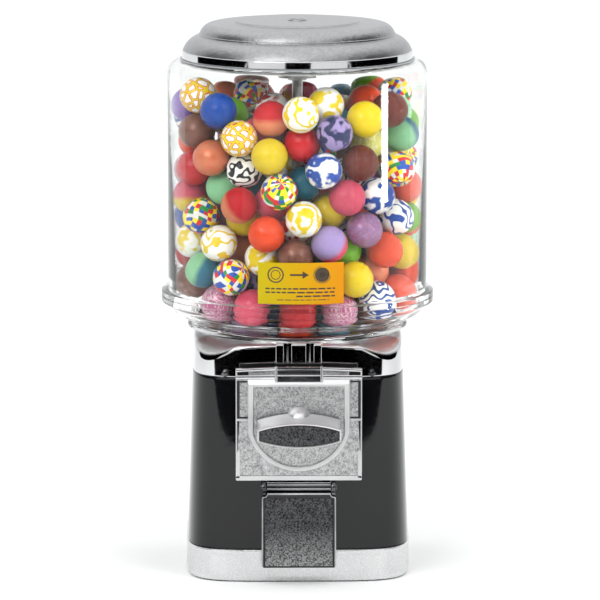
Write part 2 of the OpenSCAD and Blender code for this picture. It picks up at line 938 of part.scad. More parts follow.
module chute_frame() {
    frame_front = -91.6;
    frame_low = 15;
    frame_high = 66;
    step_z = 25;
    post_top = 77.4;
    color(chrome) difference() {
        union() {
            box([-post_out, frame_front, frame_low], [post_out, -83.4, frame_high]);
            box([-post_out, frame_front, step_z], [post_out, chute_front, frame_high]);
            box([-post_out, -86, frame_high - eps], [post_out, chute_front, post_top]);
            for (s = [-1, 1]) {
                box([s < 0 ? -post_out : post_in, hinge_y, frame_high - 4],
                    [s < 0 ? -post_in : post_out, chute_front, post_top]);
                translate([s < 0 ? -post_out : post_in, hinge_y, hinge_z]) rotate([0, 90, 0])
                    cylinder(r = flap_barrel_r, h = post_out - post_in);
            }
        }
        box([-mouth_half, frame_front - 1, mouth_low], [mouth_half, -80, mouth_high]);
        translate([-post_out - 1, hinge_y, hinge_z]) rotate([0, 90, 0])
            cylinder(r = hinge_pin_r, h = 2 * post_out + 2);
    }
}

module chute_flap() {
    back = flap_front + flap_t;
    rim = 2.2;
    rim_t = 1;
    neck_half = 23.2;
    color(dark_chrome) difference() {
        union() {
            box([-flap_half, flap_front, flap_bottom], [flap_half, back, flap_top]);
            box([-neck_half, flap_front, flap_top - eps], [neck_half, back, hinge_z]);
            translate([-flap_barrel_half, hinge_y, hinge_z]) rotate([0, 90, 0])
                cylinder(r = flap_barrel_r, h = 2 * flap_barrel_half);
        }
        box([-flap_half + rim, flap_front - 1, flap_bottom + rim],
            [flap_half - rim, flap_front + rim_t, flap_top - rim]);
        translate([-flap_barrel_half - 1, hinge_y, hinge_z]) rotate([0, 90, 0])
            cylinder(r = hinge_pin_r + running_play, h = 2 * flap_barrel_half + 2);
    }
}

module hinge_pin() {
    head_r = 2.4;
    head_t = 0.9;
    color("#3c3e40") {
        translate([-post_out, hinge_y, hinge_z]) rotate([0, 90, 0])
            cylinder(r = hinge_pin_r, h = 2 * post_out);
        for (x = [-post_out - head_t, post_out])
            translate([x, hinge_y, hinge_z]) rotate([0, 90, 0]) cylinder(r = head_r, h = head_t);
    }
}

base();
rubber_feet();
base_plate();
body_shell();
top_collar();
collar_screws();
wheel_tray();
ball_wheel();
wheel_gear();
brush_housing();
brush_strips();
globe();
globe_seal();
bouncy_balls();
price_label();
centre_rod();
rod_nuts();
rod_keeper();
lid();
lock_barrel();
lock_cam();
mech_plate();
mech_housing();
mech_screws();
handle_grip();
handle_disc();
handle_shaft();
coin_carrier();
ratchet_wheel();
drive_pinion();
shaft_clip();
pawl();
pawl_pin();
pawl_spring();
ball_chute();
coin_deflector();
cash_tray();
chute_frame();
chute_flap();
hinge_pin();
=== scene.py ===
"""Looks of the bouncy ball vending machine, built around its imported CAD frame."""

import math
import random

import bmesh
import bpy
import numpy as np
from mathutils import Matrix, Vector


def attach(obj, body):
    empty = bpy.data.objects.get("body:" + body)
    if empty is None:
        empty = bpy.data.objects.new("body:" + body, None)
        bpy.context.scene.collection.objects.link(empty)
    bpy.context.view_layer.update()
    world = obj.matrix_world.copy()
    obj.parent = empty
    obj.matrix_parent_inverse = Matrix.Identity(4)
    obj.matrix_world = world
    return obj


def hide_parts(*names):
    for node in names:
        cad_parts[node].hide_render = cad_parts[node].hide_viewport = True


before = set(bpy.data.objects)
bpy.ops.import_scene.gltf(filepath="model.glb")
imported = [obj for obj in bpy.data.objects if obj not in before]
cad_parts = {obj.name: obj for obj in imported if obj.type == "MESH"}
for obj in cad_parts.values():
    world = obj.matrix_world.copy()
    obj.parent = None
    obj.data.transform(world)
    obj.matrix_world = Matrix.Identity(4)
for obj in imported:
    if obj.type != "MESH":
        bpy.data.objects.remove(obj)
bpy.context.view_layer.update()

MM = 0.001
SHAFT_Z = 123.8  # height of the handle's axis
PLATE_FRONT = -92.0  # front of the mechanism's plate
HINGE = (-91.0, 73.1)  # the flap's hinge, as Y and Z
GLOBE_R = 96.6


# ---------------------------------------------------------------- camera, light and floor

CAMERA_DISTANCE = 3.82
CAMERA_HEIGHT = 0.798
AIM = Vector((0.002, 0.0, 0.198))
CAMERA_TURN = math.radians(0.73)  # the camera stands a little to the left
LENS = 310.0


def place_in_scene(obj):
    bpy.context.scene.collection.objects.link(obj)
    return obj


def point_at(obj, target):
    """Turns a camera or lamp so that it faces target."""
    obj.rotation_euler = (target - obj.location).to_track_quat("-Z", "Y").to_euler()


def make_camera():
    data = bpy.data.cameras.new("camera")
    data.lens = LENS
    data.sensor_width = 36.0
    data.clip_end = 60.0
    camera = bpy.data.objects.new("camera", data)
    to_left = CAMERA_DISTANCE * math.tan(CAMERA_TURN)
    camera.location = (AIM.x - to_left, -CAMERA_DISTANCE, CAMERA_HEIGHT)
    point_at(camera, AIM)
    place_in_scene(camera)
    bpy.context.scene.camera = camera


def set_range(node, *numbers):
    """Fills in a Map Range node: from low, from high, to low, to high."""
    for socket, number in zip(("From Min", "From Max", "To Min", "To Max"), numbers):
        node.inputs[socket].default_value = number
    return node.outputs["Result"]


def area_light(name, place, size, power, target=Vector((0, 0, 0.2)), colour=(1, 1, 1)):
    data = bpy.data.lights.new(name, "AREA")
    data.shape = "RECTANGLE"
    data.size, data.size_y = size
    data.energy = power
    data.color = colour
    lamp = bpy.data.objects.new(name, data)
    lamp.location = place
    point_at(lamp, target)
    return place_in_scene(lamp)


def card(name, corners, glow=0.0):
    """A flat black or glowing card that shows in reflections only, like a flag or a board."""
    mesh = bpy.data.meshes.new(name)
    mesh.from_pydata(corners, [], [range(len(corners))])
    obj = bpy.data.objects.new(name, mesh)
    place_in_scene(obj)
    material = bpy.data.materials.new(name)
    material.use_nodes = True
    shader = material.node_tree.nodes["Principled BSDF"]
    shader.inputs["Base Color"].default_value = (0, 0, 0, 1)
    shader.inputs["Roughness"].default_value = 1.0
    shader.inputs["Specular IOR Level"].default_value = 0.0
    shader.inputs["Emission Color"].default_value = (1, 1, 1, 1)
    shader.inputs["Emission Strength"].default_value = glow
    mesh.materials.append(material)
    obj.visible_camera = False
    obj.visible_diffuse = False
    obj.visible_shadow = False
    obj.visible_transmission = False
    return obj


def make_world():
    """A studio with a bright ceiling and backdrop, and a dark room in front."""
    world = bpy.data.worlds.new("studio")
    world.use_nodes = True
    tree = world.node_tree
    background = tree.nodes["Background"]
    place = tree.nodes.new("ShaderNodeTexCoord")
    split = tree.nodes.new("ShaderNodeSeparateXYZ")
    tree.links.new(place.outputs["Generated"], split.inputs[0])

    def ramp(socket, low, high, new_low, new_high):
        node = tree.nodes.new("ShaderNodeMapRange")
        node.interpolation_type = "SMOOTHSTEP"
        tree.links.new(split.outputs[socket], node.inputs["Value"])
        return set_range(node, low, high, new_low, new_high)

    ceiling = ramp("Z", 0.30, 0.62, 0.0, 1.3)
    backdrop = ramp("Y", -0.25, 0.05, 0.05, 1.0)
    brighter = tree.nodes.new("ShaderNodeMath")
    brighter.operation = "MAXIMUM"
    tree.links.new(ceiling, brighter.inputs[0])
    tree.links.new(backdrop, brighter.inputs[1])
    tree.links.new(brighter.outputs[0], background.inputs["Strength"])
    background.inputs["Color"].default_value = (0.985, 0.99, 1.0, 1)
    bpy.context.scene.world = world
    bpy.context.scene.view_settings.view_transform = "Standard"


def make_stage():
    reach = 14.0
    mesh = bpy.data.meshes.new("floor")
    corners = [(-reach, -reach, 0), (reach, -reach, 0), (reach, reach, 0), (-reach, reach, 0)]
    mesh.from_pydata(corners, [], [(0, 1, 2, 3)])
    floor = bpy.data.objects.new("floor", mesh)
    place_in_scene(floor)
    material = bpy.data.materials.new("floor")
    material.use_nodes = True
    shader = material.node_tree.nodes["Principled BSDF"]
    shader.inputs["Base Color"].default_value = (0.94, 0.95, 0.94, 1)
    shader.inputs["Roughness"].default_value = 0.9
    shader.inputs["Specular IOR Level"].default_value = 0.1
    mesh.materials.append(material)

    # the white sheet ends in front of the machine, and the floor beyond it is dark
    room, sheet_front, sheet_half, lift = 6.0, -0.87, 1.57, 0.004
    card("dark_floor_front", [(-room, -room, lift), (room, -room, lift),
                              (sheet_half, sheet_front, lift), (-sheet_half, sheet_front, lift)])
    for side, name in ((-1, "left"), (1, "right")):
        edge, wall, low = side * 2.0, side * room, 0.003
        card("dark_floor_" + name,
             [(edge, -1.2, low), (wall, -room, low), (wall, 2.0, low), (edge, 0.9, low)])
        # black flags beside the object, which draw the dark edge round the collar's corners
        card("black_flag_" + name,
             [(edge, -1.5, low), (edge, 1.0, low), (edge, 1.0, 2.4), (edge, -1.5, 2.4)])
        # white boards either side of the camera
        near, far = (side * 0.47, -2.15), (side * 1.75, -1.5)
        card("white_board_" + name,
             [(*near, 0.005), (*far, 0.005), (*far, 0.8), (*near, 0.8)], glow=1.0)
    make_world()

    area_light("key_left", (-1.25, -2.2, 1.75), (1.5, 1.0), 24)
    fill = area_light("fill_right", (1.7, -1.9, 1.5), (1.2, 1.2), 20)
    fill.visible_glossy = False


def light_globe(globe):
    """The tall highlight down the globe, from a strip lamp that is flagged off everything else."""
    strip = area_light("strip_right", (1.1, -0.2, 0.225), (0.14, 0.135), 5, Vector((0, -0.05, 0.225)))
    lit = bpy.data.collections.new("lit_by_strip")
    lit.objects.link(globe)
    strip.light_linking.receiver_collection = lit


# ---------------------------------------------------------------- materials

LOOKS = {}


class Look:
    """A Principled material with short ways to add texture nodes."""

    def __init__(self, name, colour, rough, metal=0.0, **sockets):
        LOOKS[name] = self
        self.material = bpy.data.materials.new(name)
        self.material.use_nodes = True
        self.tree = self.material.node_tree
        self.shader = self.tree.nodes["Principled BSDF"]
        self.set("Base Color", (*colour, 1))
        self.set("Roughness", rough)
        self.set("Metallic", metal)
        for socket, value in sockets.items():
            self.set(socket.replace("_", " "), value)

    def set(self, socket, value):
        self.shader.inputs[socket].default_value = value

    def node(self, kind, **settings):
        node = self.tree.nodes.new(kind)
        for key, value in settings.items():
            setattr(node, key, value)
        return node

    def wire(self, value, socket):
        """Links an output, or sets a plain value."""
        if isinstance(value, bpy.types.NodeSocket):
            self.tree.links.new(value, socket)
        else:
            socket.default_value = value

    def place(self):
        """The surface's own position in metres."""
        return self.node("ShaderNodeTexCoord").outputs["Object"]

    def stored(self, name, kind="Vector"):
        """A vector or colour stored on the mesh."""
        return self.node("ShaderNodeAttribute", attribute_name=name).outputs[kind]

    def noise(self, scale, detail=2.0, where=None, distortion=0.0, roughness=0.5):
        node = self.node("ShaderNodeTexNoise")
        self.wire(where if where is not None else self.place(), node.inputs["Vector"])
        node.inputs["Scale"].default_value = scale
        node.inputs["Detail"].default_value = detail
        node.inputs["Distortion"].default_value = distortion
        node.inputs["Roughness"].default_value = roughness
        return node.outputs["Fac"]

    def math(self, operation, a, b=0.0):
        node = self.node("ShaderNodeMath", operation=operation)
        self.wire(a, node.inputs[0])
        self.wire(b, node.inputs[1])
        return node.outputs[0]

    def vector_math(self, operation, *vectors):
        node = self.node("ShaderNodeVectorMath", operation=operation)
        for vector, socket in zip(vectors, node.inputs):
            self.wire(vector, socket)
        return node.outputs[0]

    def remap(self, value, low, high, new_low, new_high):
        node = self.node("ShaderNodeMapRange")
        self.wire(value, node.inputs["Value"])
        return set_range(node, low, high, new_low, new_high)

    def mix(self, share, a, b, blend="MIX"):
        node = self.node("ShaderNodeMix", data_type="RGBA", blend_type=blend)
        colours = [s for s in node.inputs if s.type == "RGBA"]
        self.wire(share, node.inputs[0])
        self.wire((*a, 1) if isinstance(a, tuple) and len(a) == 3 else a, colours[0])
        self.wire((*b, 1) if isinstance(b, tuple) and len(b) == 3 else b, colours[1])
        return [s for s in node.outputs if s.type == "RGBA"][0]

    def add(self, a, b, times):
        """a + b * times, where a and b are outputs."""
        return self.math("ADD", a, self.math("MULTIPLY", b, times))

    def parts(self, vector):
        """The X, Y and Z of a vector."""
        node = self.node("ShaderNodeSeparateXYZ")
        self.wire(vector, node.inputs[0])
        return node.outputs

    def tint(self, scale, detail, dark, light):
        """Slow or fine change between two colours."""
        return self.colour_from(self.noise(scale, detail), dark, light)

    def paint(self, colour):
        self.wire(colour, self.shader.inputs["Base Color"])
        return self

    def colour_from(self, share, dark, light):
        return self.paint(self.mix(share, dark, light))

    def rough_from(self, value, low, high, span=(0.35, 0.65)):
        self.wire(self.remap(value, span[0], span[1], low, high), self.shader.inputs["Roughness"])
        return self

    def bump(self, height, depth_mm, strength=1.0):
        """Adds relief of a real depth, on top of the relief already there."""
        node = self.node("ShaderNodeBump")
        node.inputs["Strength"].default_value = strength
        node.inputs["Distance"].default_value = depth_mm * MM
        self.wire(height, node.inputs["Height"])
        normal = self.shader.inputs["Normal"]
        if normal.is_linked:
            self.wire(normal.links[0].from_socket, node.inputs["Normal"])
        self.wire(node.outputs["Normal"], normal)
        return self


def metal_look(name, dark, light, rough, waviness=0.0, grain=None, grain_depth=0.0015):
    """Metal with slow colour change, uneven polish, faint waves and an optional cast grain."""
    look = Look(name, light, rough[0], metal=1.0)
    slow = look.noise(35, 3)
    fine = look.noise(900, 3)
    look.colour_from(look.remap(slow, 0.35, 0.65, 0, 1), dark, light)
    look.rough_from(fine, *rough)
    if waviness:
        look.bump(look.noise(28, 2), waviness)
    look.bump(look.noise(grain, 4, roughness=0.7) if grain else fine, grain_depth)
    return look


def speckle_look(name, dark, light, rough, depth, scale=820):
    """Chrome over a peppered casting: fine pits that catch light and dark."""
    look = Look(name, light, rough[0], metal=1.0)
    pepper = look.noise(scale, 3, roughness=0.75)
    coarse = look.noise(scale * 0.35, 2)
    share = look.add(look.math("MULTIPLY", pepper, 0.75), coarse, 0.25)
    look.colour_from(look.remap(share, 0.4, 0.6, 0, 1), dark, light)
    look.rough_from(pepper, *rough)
    look.bump(pepper, depth)
    look.bump(coarse, depth * 0.8)


def flap_look():
    """The flap's peppered field, with painted shade darkening it under the hinge and a painted
    reflection brightening it towards its foot.
    """
    look = Look("flap_speckle_painted_light", (0.2, 0.2, 0.2), 0.25, metal=1.0)
    pepper = look.noise(760, 3, roughness=0.75)
    coarse = look.noise(260, 2)
    share = look.add(look.math("MULTIPLY", pepper, 0.8), coarse, 0.2)
    height = look.add(look.parts(look.place())["Z"], coarse, 0.012)
    # painted shade at the top under the hinge and a painted reflection at the foot, blended by height
    foot, top = (0.42, 0.42, 0.425), (0.12, 0.12, 0.125)
    painted_reflection_ramp = look.mix(look.remap(height, 0.02, 0.05, 0, 1), foot, top)
    grain = look.mix(look.remap(share, 0.42, 0.58, 0, 1), (0.12, 0.12, 0.12), (1.0, 1.0, 1.0))
    look.paint(look.mix(1.0, painted_reflection_ramp, grain, "MULTIPLY"))
    look.rough_from(pepper, 0.22, 0.36)
    look.bump(pepper, 0.1)


def make_materials():
    metal_look("satin_chrome", (0.68, 0.685, 0.69), (0.74, 0.745, 0.75), (0.24, 0.30), 0.05)
    metal_look("grip_chrome", (0.80, 0.80, 0.81), (0.90, 0.90, 0.90), (0.4, 0.48), 0.04)
    metal_look("plate_satin", (0.68, 0.68, 0.69), (0.78, 0.78, 0.78), (0.34, 0.42), 0.05)
    metal_look("trim_chrome", (0.56, 0.56, 0.57), (0.70, 0.70, 0.71), (0.12, 0.22), 0.1)
    metal_look("flap_chrome", (0.26, 0.26, 0.27), (0.50, 0.50, 0.51), (0.1, 0.2), 0.1)
    metal_look("dark_trim", (0.05, 0.05, 0.055), (0.17, 0.17, 0.175), (0.1, 0.2), 0.08)
    metal_look("lid_band", (0.64, 0.65, 0.66), (0.72, 0.73, 0.74), (0.05, 0.09), 0.06)
    metal_look("zinc_steel", (0.5, 0.51, 0.52), (0.66, 0.67, 0.66), (0.28, 0.42), 0.02)
    metal_look("cast_zinc", (0.36, 0.37, 0.38), (0.52, 0.53, 0.54), (0.45, 0.6), 0.02, 700, 0.08)
    metal_look("brass", (0.62, 0.44, 0.16), (0.8, 0.62, 0.28), (0.22, 0.36), 0.02)
    speckle_look("speckled_chrome", (0.30, 0.30, 0.31), (0.70, 0.70, 0.70), (0.26, 0.4), 0.08)
    speckle_look("grip_speckle", (0.02, 0.02, 0.022), (0.15, 0.15, 0.155), (0.25, 0.4), 0.12, 900)
    speckle_look("lid_metal", (0.35, 0.352, 0.36), (0.45, 0.452, 0.46), (0.28, 0.38), 0.3, 680)
    flap_look()

    # the collar's sloping shoulder is duller than its polished sides
    collar = metal_look("collar_chrome", (0.60, 0.605, 0.61), (0.68, 0.685, 0.69), (0.04, 0.07), 0.03)
    upward = collar.parts(collar.node("ShaderNodeNewGeometry").outputs["Normal"])["Z"]
    collar.rough_from(upward, 0.045, 0.34, (0.45, 0.85))

    paint = Look("black_paint", (0.004, 0.004, 0.005), 0.04, IOR=1.45)
    paint.tint(40, 3, (0.002, 0.002, 0.003), (0.006, 0.006, 0.007))
    paint.rough_from(paint.noise(300, 3), 0.03, 0.07)
    paint.bump(paint.noise(260, 2), 0.004)
    paint.bump(paint.noise(14, 2), 0.07)

    plastic = Look("moulded_plastic", (0.78, 0.77, 0.73), 0.45)
    plastic.tint(60, 4, (0.7, 0.69, 0.64), (0.82, 0.81, 0.77))
    plastic.rough_from(plastic.noise(700, 3), 0.38, 0.55)
    plastic.bump(plastic.noise(900, 3), 0.02)

    globe = Look("clear_globe", (0.985, 0.995, 0.99), 0.0, Transmission_Weight=1.0, IOR=1.19,
                 Coat_Weight=0.28, Coat_IOR=1.45, Coat_Roughness=0.012)
    globe.rough_from(globe.noise(55, 4), 0.0, 0.035, (0.45, 0.75))
    globe.bump(globe.noise(16, 2), 0.05)

    bristle = Look("bristle", (0.05, 0.045, 0.04), 0.7)
    strands = bristle.node("ShaderNodeTexWave", wave_type="BANDS", bands_direction="DIAGONAL")
    strands.inputs["Scale"].default_value = 900
    bristle.wire(bristle.place(), strands.inputs["Vector"])
    bristle.colour_from(strands.outputs["Fac"], (0.02, 0.018, 0.015), (0.12, 0.11, 0.1))
    bristle.bump(strands.outputs["Fac"], 0.15)

    pad = Look("rubber_pad", (0.03, 0.03, 0.03), 0.8)
    pad.tint(200, 4, (0.02, 0.02, 0.02), (0.06, 0.06, 0.058)).bump(pad.noise(1200, 3), 0.06)

    seal = Look("grey_seal", (0.5, 0.52, 0.54), 0.4)
    seal.tint(120, 3, (0.4, 0.42, 0.44), (0.58, 0.6, 0.62)).bump(seal.noise(800, 3), 0.03)

    ink = Look("label_ink", (0.05, 0.035, 0.02), 0.5)
    ink.tint(1500, 3, (0.03, 0.02, 0.015), (0.09, 0.06, 0.03)).bump(ink.noise(2500, 2), 0.01)

    # a near-black that serves as painted shade in the plate's recesses and the flap's channel
    recess = Look("recess_black", (0.01, 0.01, 0.01), 0.6)
    recess.tint(900, 3, (0.006, 0.006, 0.006), (0.03, 0.03, 0.03)).bump(recess.noise(1200, 3), 0.05)


def label_look(low_x, high_x):
    """Yellow card that runs to orange between two X values, with a faint paper fibre."""
    look = Look("label_paper", (0.7, 0.42, 0.004), 0.32, Coat_Weight=0.15, Coat_Roughness=0.12)
    along = look.remap(look.parts(look.place())["X"], low_x, high_x, 0.0, 1.0)
    fibre = look.noise(1400, 3)
    share = look.add(along, look.math("SUBTRACT", fibre, 0.5), 0.25)
    look.set("Specular IOR Level", 0.2)
    look.colour_from(share, (0.54, 0.43, 0.0), (0.72, 0.27, 0.0))
    look.bump(fibre, 0.01)


# ---------------------------------------------------------------- shape tools

def arc(centre, radius, start, end, steps):
    """Points along an arc, with its angles in degrees."""
    angles = [math.radians(start + (end - start) * i / steps) for i in range(steps + 1)]
    return [(centre[0] + radius * math.cos(a), centre[1] + radius * math.sin(a)) for a in angles]


def curve_points(start, corner, end, steps):
    """A short curve from start to end that leans towards corner."""
    shares = [k / steps for k in range(steps + 1)]
    return [tuple(start * (1 - t) ** 2 + corner * 2 * t * (1 - t) + end * t * t) for t in shares]


def rounded(points, setback, steps=4, closed=True):
    """The outline with each corner turned into a short curve."""
    count = len(points)
    result = []
    for i, corner in enumerate(points):
        if not closed and i in (0, count - 1):
            result.append(tuple(corner))
            continue
        corner = Vector(corner)
        before = Vector(points[i - 1]) - corner
        after = Vector(points[(i + 1) % count]) - corner
        wanted = setback[i] if isinstance(setback, (list, tuple)) else setback
        cut = min(wanted, 0.45 * before.length, 0.45 * after.length)
        if cut < 1e-6:
            result += [tuple(corner)] * (steps + 1)
            continue
        start = corner + before.normalized() * cut
        end = corner + after.normalized() * cut
        result += curve_points(start, corner, end, steps)
    return result


def shade(obj, smooth_angle=35.0):
    """Smooths the gentle edges and keeps the others sharp."""
    obj.data.shade_smooth()
    obj.data.set_sharp_from_angle(angle=math.radians(smooth_angle))
    return obj


def finish_mesh(obj, smooth_angle=35.0):
    """Merges doubles, turns the faces outward and smooths the gentle edges."""
    bm = bmesh.new()
    bm.from_mesh(obj.data)
    bmesh.ops.remove_doubles(bm, verts=bm.verts, dist=1e-6)
    bmesh.ops.dissolve_degenerate(bm, edges=bm.edges, dist=1e-7)
    bmesh.ops.recalc_face_normals(bm, faces=bm.faces)
    bm.to_mesh(obj.data)
    bm.free()
    return shade(obj, smooth_angle)


def solid(name, points, faces, smooth_angle=35.0):
    """A mesh object from points in millimetres."""
    mesh = bpy.data.meshes.new(name)
    mesh.from_pydata([(x * MM, y * MM, z * MM) for x, y, z in points], [], faces)
    obj = bpy.data.objects.new(name, mesh)
    place_in_scene(obj)
    return finish_mesh(obj, smooth_angle)


def skin(name, rings, closed=False, smooth_angle=35.0):
    """Joins rings of points. A closed skin runs back to its first ring, an open one is capped."""
    size = len(rings[0])
    points = [p for ring in rings for p in ring]
    faces = []
    for j in range(len(rings) if closed else len(rings) - 1):
        a, b = j * size, (j + 1) % len(rings) * size
        faces += [(a + i, a + (i + 1) % size, b + (i + 1) % size, b + i) for i in range(size)]
    if not closed:
        faces += [tuple(range(size)), tuple(range(len(points) - size, len(points)))]
    return solid(name, points, faces, smooth_angle)


def lathe(name, outline, segments=160, smooth_angle=35.0, axis="Z", centre=(0, 0)):
    """Turns a closed outline of (radius, place along the axis) points about Z or the handle's axis."""
    rings = []
    for radius, along in outline:
        ring = []
        for i in range(segments):
            a = 2 * math.pi * i / segments
            u, v = radius * math.cos(a), radius * math.sin(a)
            ring.append((u, v, along) if axis == "Z" else (centre[0] + u, along, centre[1] + v))
        rings.append(ring)
    return skin(name, rings, closed=True, smooth_angle=smooth_angle)


def squircle_radius(half, power, angle):
    """Distance from the middle to a square with very round corners."""
    c, s = abs(math.cos(angle)), abs(math.sin(angle))
    return half / (c ** power + s ** power) ** (1 / power)


def square_ring(half, z, power=5.0, count=240):
    ring = []
    for i in range(count):
        a = 2 * math.pi * i / count
        r = squircle_radius(half, power, a)
        ring.append((r * math.cos(a), r * math.sin(a), z))
    return ring


def slab(name, outline, y0, y1, smooth_angle=35.0):
    """An (x, z) outline made solid between two depths."""
    rings = [[(x, y, z) for x, z in outline] for y in (y0, y1)]
    return skin(name, rings, smooth_angle=smooth_angle)


def block(name, low, high):
    """A box from corner to corner, the raw form for parts that are cut and softened."""
    outline = [(low[0], low[2]), (high[0], low[2]), (high[0], high[2]), (low[0], high[2])]
    return slab(name, outline, low[1], high[1])


def bar_x(name, outline, x0, x1):
    """A (y, z) outline made solid along X."""
    rings = [[(x, y, z) for y, z in outline] for x in (x0, x1)]
    return skin(name, rings)


def span(side, near, far):
    """Two X places on one side of the middle, the lower first."""
    return sorted((side * near, side * far))


def box_outline(x0, x1, z0, z1, corner=0.0, steps=5):
    points = [(x0, z0), (x1, z0), (x1, z1), (x0, z1)]
    return rounded(points, corner, steps) if corner else points


def combine(obj, others, operation):
    """Adds or cuts other solids, which are used up."""
    for other in others:
        modifier = obj.modifiers.new("shape", "BOOLEAN")
        modifier.operation = operation
        modifier.solver = "EXACT"
        modifier.object = other
    bake(obj)
    for other in others:
        bpy.data.objects.remove(other)
    return obj


def bake(obj):
    """Applies an object's modifiers."""
    bpy.context.view_layer.update()
    graph = bpy.context.evaluated_depsgraph_get()
    mesh = bpy.data.meshes.new_from_object(obj.evaluated_get(graph))
    obj.modifiers.clear()
    obj.data = mesh
    return obj


def soften(obj, width, segments=3, angle=32.0):
    """Rounds every sharp edge, in millimetres, as casting or pressing leaves it."""
    weld = obj.modifiers.new("weld", "WELD")
    weld.merge_threshold = 1e-6
    bevel = obj.modifiers.new("soft_edges", "BEVEL")
    bevel.width = width * MM
    bevel.segments = segments
    bevel.limit_method = "ANGLE"
    bevel.angle_limit = math.radians(angle)
    return obj


def flatten_shading(obj):
    """Keeps broad faces flat in the light, so only the rounded edges turn it."""
    weight = obj.modifiers.new("flat_faces", "WEIGHTED_NORMAL")
    weight.keep_sharp = True
    return obj


def join(name, parts):
    """Puts several loose solids into one object."""
    bm = bmesh.new()
    for part in parts:
        if part.modifiers:
            bake(part)
        bm.from_mesh(part.data)
    mesh = bpy.data.meshes.new(name)
    bm.to_mesh(mesh)
    bm.free()
    obj = bpy.data.objects.new(name, mesh)
    place_in_scene(obj)
    for part in parts:
        bpy.data.objects.remove(part)
    return shade(obj)


def set_look(obj, look):
    obj.data.materials.clear()
    obj.data.materials.append(LOOKS[look].material)


def dress(obj, look, body, slot, *nodes, flat=True):
    """Gives a piece its material and its body, and hides the CAD nodes it stands for."""
    set_look(obj, look)
    if flat:
        flatten_shading(obj)
    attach(obj, body)
    if nodes:
        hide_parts(*nodes)
    return obj


# ---------------------------------------------------------------- cabinet

BASE_HALF, BASE_LOW, BASE_TOP = 83.1, 0.8, 24.4
BODY_LOW_HALF, BODY_HIGH_HALF, BODY_TOP = 82.2, 78.4, 152.7
COLLAR_HALF, RIM_R, COLLAR_TOP = 78.2, 76.9, 181.4
DRAFT = (BODY_LOW_HALF - BODY_HIGH_HALF) / (BODY_TOP - BASE_TOP)


def make_base():
    """The chromed foot casting, hollow underneath, with a rolled lip round its top."""
    profile = rounded(
        [(0.9, BASE_LOW), (0.0, 4.0), (0.5, 19.5), (0.1, 21.6), (0.0, BASE_TOP),
         (3.5, BASE_TOP), (3.5, 8.0), (7.0, 8.0), (7.0, 5.0), (3.2, 5.0), (3.2, BASE_LOW)],
        [1.0, 1.2, 0.8, 0.8, 1.1, 0.5, 0.5, 0.5, 0.5, 0.5, 0.5], 3,
    )
    rings = [square_ring(BASE_HALF - inset, z) for inset, z in profile]
    dress(skin("base_casting", rings, closed=True), "satin_chrome", "cabinet", "chrome_casting", "base")


def make_body():
    """The tapered black body with its rolled edges and the two openings in its front."""
    wall, roll, roll_rate = 2.0, 0.5, 350
    outer, inner = [], []
    # the rings lie close together at both ends, where the edges roll in
    edge = [0.0, 0.0012, 0.003, 0.006, 0.01, 0.02, 0.06]
    for t in edge + [k / 10 for k in range(1, 10)] + [1 - e for e in reversed(edge)]:
        z = BASE_TOP + 0.2 + (BODY_TOP - BASE_TOP - 0.4) * t
        half = BODY_LOW_HALF + (BODY_HIGH_HALF - BODY_LOW_HALF) * t
        tuck = roll * (math.exp(-t * roll_rate) + math.exp(-(1 - t) * roll_rate))
        outer.append(square_ring(half - tuck, z))
        inner.append(square_ring(half - wall, z))
    body = skin("body_panel", outer + inner[::-1], closed=True)
    openings = [  # for the mechanism and for the flap
        block("cut", (-36.4, -95, 87.6), (36.4, -60, 160)),
        block("cut", (-22.7, -95, 24.8), (22.7, -60, 63.2)),
    ]
    combine(body, openings, "DIFFERENCE")
    finish_mesh(body)
    dress(body, "black_paint", "cabinet", "black_paint", "body_shell")


